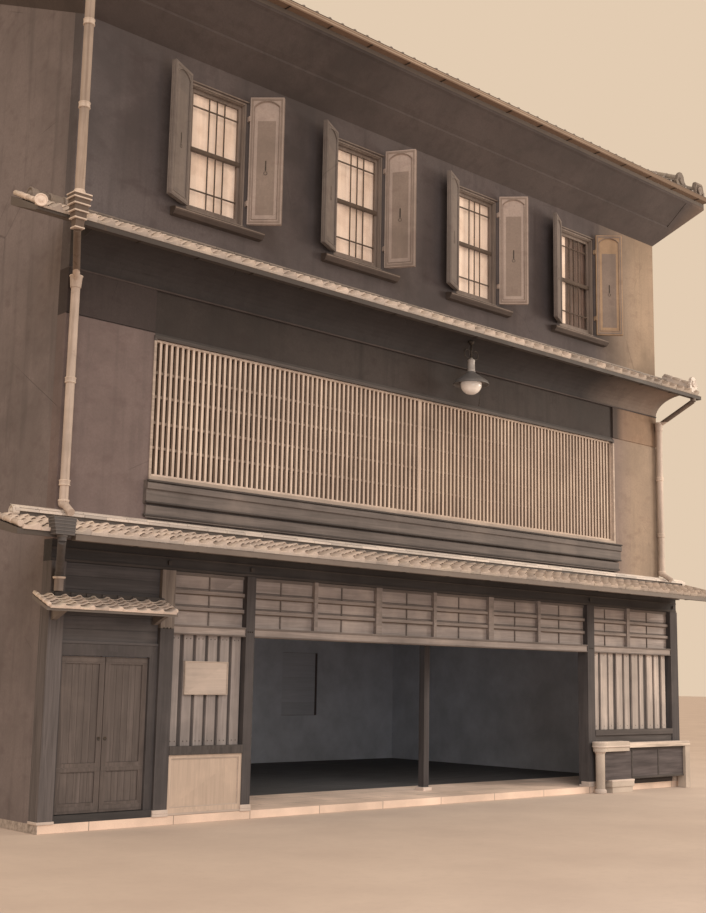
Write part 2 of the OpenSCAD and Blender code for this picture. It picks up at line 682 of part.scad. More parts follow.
ground_floor();
front_posts();
shop_lintel();
front_girder();
transom_boards();
transom_rails();
wall_over_door();
door_frame();
threshold();
door_leaf_left();
door_leaf_right();
door_hinges_left();
door_hinges_right();
door_canopy();
slat_screen_left();
dado_left();
sign_board();
slat_screen_right();
dado_right();
low_post_and_rail();
lower_roofs();
side_roof();
roof_wall_courses();
left_wall();
right_wall_ground();
right_wall_upper();
rear_wall_ground();
rear_wall_bands();
rear_wall_piers();
rear_slat_screens();
floor_2f();
floor_3f();
front_wall_2f_sides();
front_wall_2f_bands();
sill_band_2f();
lattice_2f_left();
lattice_2f_right();
paper_screens_2f();
pent_roofs_3f();
pent_coves_3f();
front_wall_3f_bands();
front_wall_3f_piers();
window_frames();
window_panes();
window_sills();
shutters_left();
shutters_right();
eave_cornices();
verge_cornices();
main_roof_front();
main_roof_rear();
roof_ridges();
verge_ridges();
roof_end_tiles();
gutters();
downpipe_left();
downpipe_right();
eave_hopper();
street_lamp();
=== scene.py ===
# Looks of the three-storey townhouse: tiles, timber, plaster, lattice and fittings around the CAD frame.
import math
import random

import bpy
import numpy as np
from mathutils import Matrix, Vector


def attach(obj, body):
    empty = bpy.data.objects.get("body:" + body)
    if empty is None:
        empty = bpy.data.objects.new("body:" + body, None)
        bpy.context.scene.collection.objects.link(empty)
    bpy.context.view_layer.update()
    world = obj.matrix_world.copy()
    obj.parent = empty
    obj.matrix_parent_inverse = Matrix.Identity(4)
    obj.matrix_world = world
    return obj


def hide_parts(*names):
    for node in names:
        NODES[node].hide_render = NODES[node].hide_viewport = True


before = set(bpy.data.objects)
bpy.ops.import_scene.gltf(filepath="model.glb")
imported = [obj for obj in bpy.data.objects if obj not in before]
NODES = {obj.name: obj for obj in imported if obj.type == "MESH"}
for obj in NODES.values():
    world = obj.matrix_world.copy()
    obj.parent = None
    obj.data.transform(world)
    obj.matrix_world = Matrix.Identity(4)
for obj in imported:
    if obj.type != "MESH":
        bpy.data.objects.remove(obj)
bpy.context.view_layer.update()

rng = random.Random(7)

# main dimensions of the frame, millimetres
LEFT_X, RIGHT_X, SHOP_X = -5830.0, 6090.0, 6610.0
YF, YR = -3600.0, 3600.0
VERGE, EAVE_OUT, EAVE_Z, ROOF_T, PITCH = 550.0, 756.0, 10344.0, 136.0, 0.45
LOW_OUT, MID_OUT = 870.0, 640.0
WIN_X, WIN_STEP, WIN_W = -4220.0, 2528.0, 922.0
WIN_Z0, WIN_Z1, REAR_Z0, REAR_Z1 = 7584.0, 9331.0, 4200.0, 5800.0
REAR1_Z0, REAR1_Z1 = 1000.0, 2235.0
LAT_X0, LAT_X1, LAT_Z0, LAT_Z1 = -4590.0, 4800.0, 4090.0, 5860.0


def over(y):
    return EAVE_Z + PITCH * (3600.0 + EAVE_OUT - abs(y)) + ROOF_T


# ---------------------------------------------------------------- mesh building
class Build:
    """Collects faces in millimetres, with a tone for each face, and makes one mesh of them."""

    def __init__(self):
        self.v, self.f, self.t, self.s, self.n = [], [], [], [], 0

    def add(self, verts, faces, tone=0.5, smooth=False, flip=False):
        verts = np.asarray(verts, float).reshape(-1, 3)
        base = self.n
        for i, f in enumerate(faces):
            g = [base + k for k in f]
            self.f.append(g[::-1] if flip else g)
            self.s.append(smooth[i] if isinstance(smooth, (list, tuple)) else smooth)
            self.t.append(tone)
        self.v.append(verts)
        self.n += len(verts)

    def box(self, x0, x1, y0, y1, z0, z1, tone=None):
        tone = rng.random() if tone is None else tone
        v = [(x, y, z) for z in (z0, z1) for y in (y0, y1) for x in (x0, x1)]
        self.add(v, [(0, 2, 3, 1), (4, 5, 7, 6), (0, 1, 5, 4), (2, 6, 7, 3), (0, 4, 6, 2), (1, 3, 7, 5)], tone)

    def prism(self, axis, a0, a1, pts, tone=None, smooth=False):
        """An outline drawn out along axis 0 (points y, z), 1 (x, z) or 2 (x, y)."""
        tone = rng.random() if tone is None else tone
        n = len(pts)
        area = sum(pts[i][0] * pts[(i + 1) % n][1] - pts[(i + 1) % n][0] * pts[i][1] for i in range(n))
        if (area < 0) != (axis == 1):
            pts = pts[::-1]
        out = []
        for a in (a0, a1):
            for p, q in pts:
                out.append((a, p, q) if axis == 0 else (p, a, q) if axis == 1 else (p, q, a))
        faces = [tuple(range(n))[::-1], tuple(range(n, 2 * n))]
        faces += [(i, (i + 1) % n, n + (i + 1) % n, n + i) for i in range(n)]
        self.add(out, faces, tone, [False, False] + [smooth] * n)

    def tube(self, pts, r, sides=10, tone=None, caps=True, smooth=True):
        """A round bar along points; r is one radius or one for each point."""
        tone = rng.random() if tone is None else tone
        pts = [Vector(p) for p in pts]
        rs = r if isinstance(r, (list, tuple)) else [r] * len(pts)
        out, ref = [], None
        for i, p in enumerate(pts):
            d = (pts[min(i + 1, len(pts) - 1)] - pts[max(i - 1, 0)]).normalized()
            if ref is None:
                ref = d.orthogonal().normalized()
            ref = (ref - d * ref.dot(d)).normalized()
            w = d.cross(ref)
            for k in range(sides):
                a = 2 * math.pi * k / sides
                out.append(p + (ref * math.cos(a) + w * math.sin(a)) * rs[i])
        faces, sm = [], []
        for i in range(len(pts) - 1):
            for k in range(sides):
                a, b = i * sides + k, i * sides + (k + 1) % sides
                faces.append((a, b, b + sides, a + sides))
                sm.append(smooth)
        if caps:
            m = (len(pts) - 1) * sides
            faces += [tuple(range(sides))[::-1], tuple(range(m, m + sides))]
            sm += [False, False]
        self.add([tuple(p) for p in out], faces, tone, sm)

    def lathe(self, centre, axis, profile, sides=24, tone=None, smooth=True):
        """Turns (along, radius) points round an axis through centre."""
        tone = rng.random() if tone is None else tone
        d = Vector(axis).normalized()
        u = d.orthogonal().normalized()
        w = d.cross(u)
        c = Vector(centre)
        out = []
        for a, r in profile:
            for k in range(sides):
                t = 2 * math.pi * k / sides
                out.append(tuple(c + d * a + (u * math.cos(t) + w * math.sin(t)) * max(r, 0.01)))
        faces = []
        for i in range(len(profile) - 1):
            for k in range(sides):
                a, b = i * sides + k, i * sides + (k + 1) % sides
                faces.append((a, b, b + sides, a + sides))
        self.add(out, faces, tone, smooth)

    def make(self, name, material, slot, body="root", bevel=0.0):
        me = bpy.data.meshes.new(name)
        v = np.concatenate(self.v) * 0.001
        me.from_pydata(v.tolist(), [], self.f)
        me.polygons.foreach_set("use_smooth", [bool(x) for x in self.s])
        at = me.attributes.new("tone", "FLOAT", "FACE")
        at.data.foreach_set("value", [float(x) for x in self.t])
        me.materials.append(material)
        me.update()
        ob = bpy.data.objects.new(name, me)
        bpy.context.scene.collection.objects.link(ob)
        if bevel:
            m = ob.modifiers.new("edge", "BEVEL")
            m.width = bevel * 0.001
            m.segments = 2
            m.limit_method = "ANGLE"
            m.angle_limit = math.radians(40)
        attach(ob, body)
        return ob


# ---------------------------------------------------------------- materials
class Graph:
    def __init__(self, name):
        self.m = bpy.data.materials.new(name)
        self.m.use_nodes = True
        self.t = self.m.node_tree
        self.t.nodes.clear()
        self.out = self.n("ShaderNodeOutputMaterial")
        self.co = self.n("ShaderNodeTexCoord").outputs["Object"]

    def n(self, kind, **props):
        node = self.t.nodes.new(kind)
        for k, val in props.items():
            setattr(node, k, val)
        return node

    def put(self, socket, value):
        if isinstance(value, bpy.types.NodeSocket):
            self.t.links.new(value, socket)
        elif isinstance(value, (tuple, list)) and len(value) == 3 and socket.type == "RGBA":
            socket.default_value = (*value, 1)
        else:
            socket.default_value = value

    def scaled(self, sx, sy, sz, vec=None, loc=(0, 0, 0)):
        m = self.n("ShaderNodeMapping")
        self.put(m.inputs["Vector"], vec or self.co)
        m.inputs["Scale"].default_value = (sx, sy, sz)
        m.inputs["Location"].default_value = loc
        return m.outputs["Vector"]

    def noise(self, scale, detail=3, rough=0.55, vec=None, distort=0.0):
        t = self.n("ShaderNodeTexNoise")
        self.put(t.inputs["Vector"], vec or self.co)
        t.inputs["Scale"].default_value = scale
        t.inputs["Detail"].default_value = detail
        t.inputs["Roughness"].default_value = rough
        t.inputs["Distortion"].default_value = distort
        return t.outputs["Fac"]

    def math(self, op, a, b=0.0, clamp=False):
        m = self.n("ShaderNodeMath", operation=op, use_clamp=clamp)
        self.put(m.inputs[0], a)
        self.put(m.inputs[1], b)
        return m.outputs[0]

    def ramp(self, fac, lo, hi, a=0.0, b=1.0):
        m = self.n("ShaderNodeMapRange", clamp=True)
        self.put(m.inputs["Value"], fac)
        for k, x in (("From Min", lo), ("From Max", hi), ("To Min", a), ("To Max", b)):
            m.inputs[k].default_value = x
        return m.outputs["Result"]

    def mix(self, fac, a, b, mode="MIX"):
        m = self.n("ShaderNodeMix", data_type="RGBA", blend_type=mode)
        self.put(m.inputs["Factor"], fac)
        ins = [i for i in m.inputs if i.type == "RGBA"]
        self.put(ins[0], a)
        self.put(ins[1], b)
        return [o for o in m.outputs if o.type == "RGBA"][0]

    def xyz(self):
        return self.n_sep(self.co)

    def n_sep(self, vec):
        s = self.n("ShaderNodeSeparateXYZ")
        self.put(s.inputs[0], vec)
        return s.outputs

    def tone(self):
        a = self.n("ShaderNodeAttribute", attribute_type="GEOMETRY", attribute_name="tone")
        return a.outputs["Fac"]

    def island(self):
        return self.n("ShaderNodeNewGeometry").outputs["Random Per Island"]

    def bump(self, height, strength=0.5, distance=0.01, normal=None):
        b = self.n("ShaderNodeBump")
        b.inputs["Strength"].default_value = strength
        b.inputs["Distance"].default_value = distance
        self.put(b.inputs["Height"], height)
        if normal is not None:
            self.put(b.inputs["Normal"], normal)
        return b.outputs["Normal"]

    def finish(self, color, rough=0.8, normal=None, metallic=0.0, spec=0.3, **more):
        p = self.n("ShaderNodeBsdfPrincipled")
        self.put(p.inputs["Base Color"], color)
        self.put(p.inputs["Roughness"], rough)
        p.inputs["Metallic"].default_value = metallic
        p.inputs["Specular IOR Level"].default_value = spec
        if normal is not None:
            self.put(p.inputs["Normal"], normal)
        for k, x in more.items():
            self.put(p.inputs[k.replace("_", " ")], x)
        self.t.links.new(p.outputs[0], self.out.inputs["Surface"])
        return self.m


def times(c, k):
    return tuple(min(1.0, x * k) for x in c)


def plaster(name, c, streak=0.5, blotch=0.35, painted_light_right=None, painted_light_inside=None, crack=0.6, zones=()):
    """Aged plaster. zones lists ((axis, low, high, soft), colour multiplier) where it is darker or paler, in metres.

    A fifth number keeps a zone to the right of that x.
    """
    g = Graph(name)
    big = g.noise(0.35, 3, 0.5)
    mid = g.noise(1.9, 5, 0.62)
    run = g.noise(1.0, 4, 0.6, g.scaled(5.0, 5.0, 0.35))
    fine = g.noise(38, 4, 0.65)
    col = g.mix(g.ramp(big, 0.34, 0.68), times(c, 1 - blotch), times(c, 1 + blotch))
    col = g.mix(g.ramp(mid, 0.42, 0.72, 0, 0.6), col, times(c, 1.45))
    patch = g.noise(4.6, 3, 0.5, g.scaled(1.0, 1.0, 1.5))
    col = g.mix(g.ramp(patch, 0.46, 0.30, 0, 0.4), col, times((c[0] * 1.05, c[1] * 0.96, c[2] * 0.98), 0.70))
    col = g.mix(g.ramp(run, 0.52, 0.74, 0, streak), col, times((c[0] * 0.96, c[1], c[2] * 1.02), 0.55))
    col = g.mix(g.ramp(fine, 0.35, 0.7, 0, 0.4), col, times(c, 0.74))
    # hairline cracks, broken up
    v = g.n("ShaderNodeTexVoronoi", feature="DISTANCE_TO_EDGE")
    g.put(v.inputs["Vector"], g.scaled(1, 1, 0.8, None))
    v.inputs["Scale"].default_value = 0.62
    line = g.math("MULTIPLY", g.ramp(v.outputs["Distance"], 0.0, 0.004, 1, 0), g.ramp(g.noise(0.9, 2), 0.5, 0.62))
    col = g.mix(g.math("MULTIPLY", line, crack), col, times(c, 0.45))
    for (ax, lo, hi, soft, *right), k in zones:
        w = g.xyz()[ax]
        on = g.math("MULTIPLY", g.ramp(w, lo - soft, lo + soft), g.ramp(w, hi - soft, hi + soft, 1, 0))
        if right:
            on = g.math("MULTIPLY", on, g.ramp(g.xyz()[0], right[0] - 0.1, right[0] + 0.1))
        col = g.mix(on, col, g.mix(1.0, col, (k[0], k[1], k[2]), "MULTIPLY"))
    if painted_light_right:
        # painted light: paler towards the right-hand end of the front, where more light falls
        lo, hi, k = painted_light_right
        on = g.math("MULTIPLY", g.ramp(g.xyz()[0], lo, hi, 0, 1), g.math("LESS_THAN", g.xyz()[1], -3.0))
        col = g.mix(on, col, g.mix(1.0, col, (k[0], k[1], k[2]), "MULTIPLY"))
    if painted_light_inside:
        # painted light: a paler blue-grey on the faces that look into the ground floor, which lifts the dark shop
        x, y, z = g.xyz()
        on = g.math("MULTIPLY", g.math("GREATER_THAN", x, -5.66), g.math("LESS_THAN", x, 6.44))
        on = g.math("MULTIPLY", on, g.math("LESS_THAN", g.math("ABSOLUTE", y), 3.41))
        on = g.math("MULTIPLY", on, g.math("LESS_THAN", z, 3.26))
        col = g.mix(on, col, g.mix(g.ramp(mid, 0.35, 0.7), times(painted_light_inside, 0.85), times(painted_light_inside, 1.12)))
    h = g.math("ADD", g.math("MULTIPLY", mid, 0.8), g.math("MULTIPLY", fine, 0.25))
    h = g.math("SUBTRACT", h, g.math("MULTIPLY", line, 0.5 if crack else 0.0))
    return g.finish(col, g.ramp(mid, 0.3, 0.7, 0.82, 0.95), g.bump(h, 0.55, 0.012))


def wood(name, c, axis=2, grain=0.5, vary=0.25, wear=0.4, tone="island", dark=0.45, rough=0.8, bands=(), zones=(), painted_shade_sides=None,
         dim=None):
    """Wood with its grain along axis. bands lists (axis, low, high, colour) where another timber shows, in metres.

    zones does the same for a box of several axes. The side multiplier darkens the faces that look along x: painted
    shade between close bars. dim is (x low, x high, multiplier), a darkening towards higher x along the front.
    """
    g = Graph(name)
    s = [26.0, 26.0, 26.0]
    s[axis] = 1.1
    own = g.tone() if tone == "tone" else g.island()
    off = g.n("ShaderNodeCombineXYZ")
    g.put(off.inputs[0], g.math("MULTIPLY", own, 13.0))
    g.put(off.inputs[1], g.math("MULTIPLY", own, 7.0))
    vm = g.n("ShaderNodeVectorMath", operation="ADD")
    g.put(vm.inputs[0], g.co)
    g.put(vm.inputs[1], off.outputs[0])
    vec = vm.outputs[0]
    fib = g.noise(1.0, 5, 0.62, g.scaled(*s, vec), 0.6)
    w = [7.0, 7.0, 7.0]
    w[axis] = 0.42
    ring = g.noise(1.0, 3, 0.5, g.scaled(*w, vec), 1.2)
    stain = g.noise(1.3, 4, 0.6)
    col = g.mix(g.ramp(fib, 0.35, 0.68), times(c, 1 - grain * 0.55), times(c, 1 + grain * 0.5))
    col = g.mix(g.ramp(ring, 0.4, 0.66, 0, grain), col, times(c, 0.62))
    col = g.mix(g.ramp(own, 0, 1, 0, vary * 1.6), col, times(c, dark + 0.25))
    col = g.mix(g.ramp(stain, 0.5, 0.76, 0, wear), col, times((c[0], c[1] * 0.97, c[2] * 0.93), 1.55))
    col = g.mix(g.ramp(stain, 0.44, 0.26, 0, wear * 0.9), col, times(c, dark))
    for ax, lo, hi, other in bands:
        x = g.xyz()[ax]
        on = g.math("MULTIPLY", g.math("GREATER_THAN", x, lo), g.math("LESS_THAN", x, hi))
        oc = g.mix(g.ramp(fib, 0.35, 0.7), times(other, 0.7), times(other, 1.25))
        col = g.mix(on, col, oc)
    for box, other in zones:
        x = g.xyz()
        on = 1.0
        for ax, lo, hi in box:
            one = g.math("MULTIPLY", g.math("GREATER_THAN", x[ax], lo), g.math("LESS_THAN", x[ax], hi))
            on = one if isinstance(on, float) else g.math("MULTIPLY", on, one)
        oc = g.mix(g.ramp(fib, 0.35, 0.7), times(other, 0.7), times(other, 1.25))
        col = g.mix(on, col, oc)
    # painted shade: faces that look along x are darkened between close bars
    if painted_shade_sides:
        nx = g.n_sep(g.n("ShaderNodeTexCoord").outputs["Normal"])[0]
        on = g.ramp(g.math("ABSOLUTE", nx), 0.5, 0.8)
        col = g.mix(on, col, g.mix(1.0, col, (painted_shade_sides[0], painted_shade_sides[1], painted_shade_sides[2]), "MULTIPLY"))
    if dim:
        col = g.mix(g.ramp(g.xyz()[0], dim[0], dim[1]), col, g.mix(1.0, col, (dim[2], dim[2] * 0.97, dim[2] * 0.94), "MULTIPLY"))
    h = g.math("ADD", g.math("MULTIPLY", fib, 0.7), g.math("MULTIPLY", ring, 0.5))
    return g.finish(col, g.ramp(fib, 0.3, 0.7, rough - 0.1, rough + 0.12), g.bump(h, 0.5, 0.004), spec=0.25)


def tile_clay(name, c, tone=True, fade=None):
    g = Graph(name)
    own = g.tone() if tone else g.island()
    lich = g.noise(3.2, 5, 0.65)
    fine = g.noise(55, 4, 0.6)
    sweep = g.noise(0.5, 2, 0.5)
    col = g.mix(g.ramp(own, 0, 1), times((c[0] * 0.97, c[1], c[2] * 1.03), 0.70), times(c, 1.22))
    col = g.mix(g.ramp(lich, 0.52, 0.72, 0, 0.5), col, times((c[0], c[1], c[2] * 0.9), 1.35))
    col = g.mix(g.ramp(lich, 0.44, 0.28, 0, 0.55), col, times(c, 0.55))
    col = g.mix(g.ramp(sweep, 0.42, 0.64, 0, 0.3), col, times(c, 0.75))
    col = g.mix(g.ramp(fine, 0.45, 0.72, 0, 0.3), col, times(c, 0.6))
    if fade:
        # darker towards the right-hand end
        col = g.mix(g.ramp(g.xyz()[0], fade[0], fade[1]), col, g.mix(1.0, col, (fade[2], fade[2] * 0.95, fade[2] * 0.9), "MULTIPLY"))
    h = g.math("ADD", g.math("MULTIPLY", lich, 0.4), g.math("MULTIPLY", fine, 0.3))
    return g.finish(col, g.ramp(lich, 0.3, 0.7, 0.52, 0.8), g.bump(h, 0.4, 0.006), spec=0.45)


def stone_mat(name, c, blocks=None, bands=()):
    g = Graph(name)
    big = g.noise(1.1, 4, 0.55)
    fine = g.noise(70, 4, 0.7)
    speck = g.noise(140, 2, 0.5)
    col = g.mix(g.ramp(big, 0.35, 0.68), times(c, 0.78), times(c, 1.15))
    col = g.mix(g.ramp(speck, 0.56, 0.68, 0, 0.5), col, times(c, 0.55))
    col = g.mix(g.ramp(fine, 0.5, 0.75, 0, 0.4), col, times(c, 1.3))
    h = g.math("ADD", g.math("MULTIPLY", big, 0.6), g.math("MULTIPLY", fine, 0.3))
    if blocks:
        b = g.n("ShaderNodeTexBrick")
        g.put(b.inputs["Vector"], g.scaled(1, 1, 1))
        b.inputs["Scale"].default_value = 1.0
        b.inputs["Mortar Size"].default_value = 0.006
        b.inputs["Mortar Smooth"].default_value = 0.3
        b.inputs["Brick Width"].default_value = blocks[0]
        b.inputs["Row Height"].default_value = blocks[1]
        b.inputs["Color1"].default_value = (0.9, 0.9, 0.9, 1)
        b.inputs["Color2"].default_value = (1.05, 1.05, 1.05, 1)
        b.inputs["Mortar"].default_value = (0.42, 0.42, 0.42, 1)
        col = g.mix(1.0, col, b.outputs["Color"], "MULTIPLY")
        h = g.math("SUBTRACT", h, g.math("MULTIPLY", b.outputs["Fac"], 1.0))
    x = g.xyz()
    for box, other in bands:
        on = 1.0
        for ax, lo, hi in box:
            one = g.math("MULTIPLY", g.math("GREATER_THAN", x[ax], lo), g.math("LESS_THAN", x[ax], hi))
            on = one if isinstance(on, float) else g.math("MULTIPLY", on, one)
        wd = g.noise(1.0, 4, 0.6, g.scaled(1.2, 20, 20))
        oc = g.mix(g.ramp(wd, 0.35, 0.7), times(other, 0.65), times(other, 1.3))
        col = g.mix(on, col, oc)
    return g.finish(col, g.ramp(fine, 0.3, 0.7, 0.75, 0.92), g.bump(h, 0.45, 0.005), spec=0.3)


def paint_metal(name, c, rust=0.35, rough=0.55, zones=()):
    g = Graph(name)
    big = g.noise(1.6, 5, 0.6)
    run = g.noise(1.0, 4, 0.6, g.scaled(16, 16, 0.8))
    fine = g.noise(90, 3, 0.6)
    col = g.mix(g.ramp(big, 0.35, 0.66), times(c, 0.78), times(c, 1.16))
    col = g.mix(g.ramp(run, 0.54, 0.72, 0, 0.6), col, times((c[0] * 0.95, c[1] * 0.85, c[2] * 0.75), 0.5))
    col = g.mix(g.ramp(g.noise(7, 5, 0.7), 0.62, 0.7, 0, rust), col, (0.13, 0.075, 0.045))
    for (lo, hi), k in zones:
        z = g.xyz()[2]
        on = g.math("MULTIPLY", g.math("GREATER_THAN", z, lo), g.math("LESS_THAN", z, hi))
        col = g.mix(on, col, g.mix(1.0, col, (k[0], k[1], k[2]), "MULTIPLY"))
    return g.finish(col, g.ramp(big, 0.3, 0.7, rough, rough + 0.25), g.bump(fine, 0.25, 0.002), spec=0.5)


def gutter_metal(name):
    """Painted troughs: painted shade on the trough under the upper pent roof, pale over the shop, streaked along the
    main eaves.
    """
    g = Graph(name)
    big = g.noise(1.4, 5, 0.6)
    fine = g.noise(80, 3, 0.6)
    z = g.xyz()[2]
    wob = g.math("ADD", z, g.math("MULTIPLY", g.math("SUBTRACT", big, 0.5), 0.012))
    pale, dark, rust = (0.43, 0.33, 0.255), (0.062, 0.052, 0.048), (0.175, 0.112, 0.078)

    def zone(lo, hi):
        return g.math("MULTIPLY", g.ramp(wob, lo - 0.003, lo + 0.003), g.ramp(wob, hi - 0.003, hi + 0.003, 1, 0))
    col = g.mix(g.ramp(big, 0.35, 0.66), times(pale, 0.72), times(pale, 1.0))
    col = g.mix(g.math("LESS_THAN", z, 4.0), col, g.mix(g.ramp(big, 0.35, 0.66), (0.125, 0.102, 0.089), (0.195, 0.161, 0.140)))
    # painted shade: the trough under the upper pent roof is made near black
    col = g.mix(zone(6.0, 7.0), col, dark)
    col = g.mix(zone(10.0, 10.428), col, rust)
    col = g.mix(zone(10.452, 10.463), col, rust)
    col = g.mix(g.math("MULTIPLY", g.ramp(g.xyz()[0], 1.5, 6.2), g.math("GREATER_THAN", z, 10.0)), col, (0.150, 0.100, 0.070))
    col = g.mix(g.ramp(g.noise(7, 5, 0.7), 0.62, 0.7, 0, 0.45), col, (0.13, 0.075, 0.045))
    return g.finish(col, g.ramp(big, 0.3, 0.7, 0.55, 0.8), g.bump(fine, 0.25, 0.002), spec=0.4)


def dark_iron(name):
    g = Graph(name)
    n = g.noise(24, 5, 0.65)
    col = g.mix(g.ramp(n, 0.4, 0.7), (0.035, 0.030, 0.027), (0.11, 0.085, 0.065))
    return g.finish(col, g.ramp(n, 0.3, 0.7, 0.45, 0.75), g.bump(n, 0.5, 0.002), metallic=0.6, spec=0.5)


def paper_mat(name, c):
    g = Graph(name)
    f = g.noise(60, 5, 0.7, g.scaled(1, 1, 2.2))
    big = g.noise(0.9, 4, 0.6)
    col = g.mix(g.ramp(f, 0.4, 0.7), times(c, 0.9), times(c, 1.08))
    col = g.mix(g.ramp(big, 0.42, 0.68, 0, 0.5), col, times((c[0], c[1] * 0.95, c[2] * 0.86), 0.66))
    own = g.island()
    col = g.mix(g.ramp(own, 0, 1, 0, 0.35), col, times(c, 0.7))
    patch = g.noise(1.0, 2, 0.4, g.scaled(1.1, 1, 0.55))
    x = g.xyz()[0]
    col = g.mix(g.math("MULTIPLY", g.ramp(patch, 0.56, 0.62), g.ramp(x, 0.2, 1.4)), col, times(c, 1.9))
    return g.finish(col, 0.9, g.bump(f, 0.2, 0.001), spec=0.1)


def cloth_with_painted_glow(name, c):
    g = Graph(name)
    weave = g.noise(420, 2, 0.5)
    fold = g.noise(1.0, 3, 0.5, g.scaled(9, 9, 0.5))
    col = g.mix(g.ramp(fold, 0.4, 0.64), times(c, 0.86), times(c, 1.06))
    col = g.mix(g.ramp(weave, 0.4, 0.7, 0, 0.25), col, times(c, 0.8))
    # the weak emission is painted light: a glow standing in for light on the blinds
    return g.finish(col, 0.92, g.bump(weave, 0.3, 0.001), spec=0.1, Sheen_Weight=0.15, Emission_Color=(0.86, 0.66, 0.54, 1.0), Emission_Strength=0.13)


def window_glass(name):
    """Thin glass: mostly clear, with a reflection that grows at a slant and a slight waviness."""
    g = Graph(name)
    wave = g.noise(2.4, 2, 0.5)
    dirt = g.noise(5.0, 5, 0.6)
    nrm = g.bump(wave, 0.12, 0.02)
    fres = g.n("ShaderNodeFresnel")
    fres.inputs["IOR"].default_value = 1.5
    g.put(fres.inputs["Normal"], nrm)
    gl = g.n("ShaderNodeBsdfGlossy")
    gl.inputs["Roughness"].default_value = 0.06
    gl.inputs["Color"].default_value = (0.9, 0.9, 0.9, 1)
    g.put(gl.inputs["Normal"], nrm)
    tr = g.n("ShaderNodeBsdfTransparent")
    g.put(tr.inputs["Color"], g.mix(g.ramp(dirt, 0.45, 0.75, 0, 0.4), (0.975, 0.965, 0.955), (0.84, 0.79, 0.75)))
    mx = g.n("ShaderNodeMixShader")
    front = g.math("SUBTRACT", 1.0, g.n("ShaderNodeNewGeometry").outputs["Backfacing"])
    g.put(mx.inputs[0], g.math("MULTIPLY", g.math("MULTIPLY", fres.outputs[0], 0.5, True), front))
    g.t.links.new(tr.outputs[0], mx.inputs[1])
    g.t.links.new(gl.outputs[0], mx.inputs[2])
    g.t.links.new(mx.outputs[0], g.out.inputs["Surface"])
    return g.m


def opal(name):
    g = Graph(name)
    n = g.noise(9, 3, 0.5)
    z = g.xyz()[2]
    col = g.mix(g.ramp(n, 0.35, 0.7), (0.86, 0.80, 0.75), (0.95, 0.90, 0.86))
    col = g.mix(g.ramp(z, 6.00, 5.93, 0, 0.55), col, (0.30, 0.26, 0.24))
    return g.finish(col, g.ramp(n, 0.3, 0.7, 0.18, 0.3), None, spec=0.5, Coat_Weight=0.4, Emission_Color=(0.80, 0.64, 0.54, 1.0), Emission_Strength=0.10)
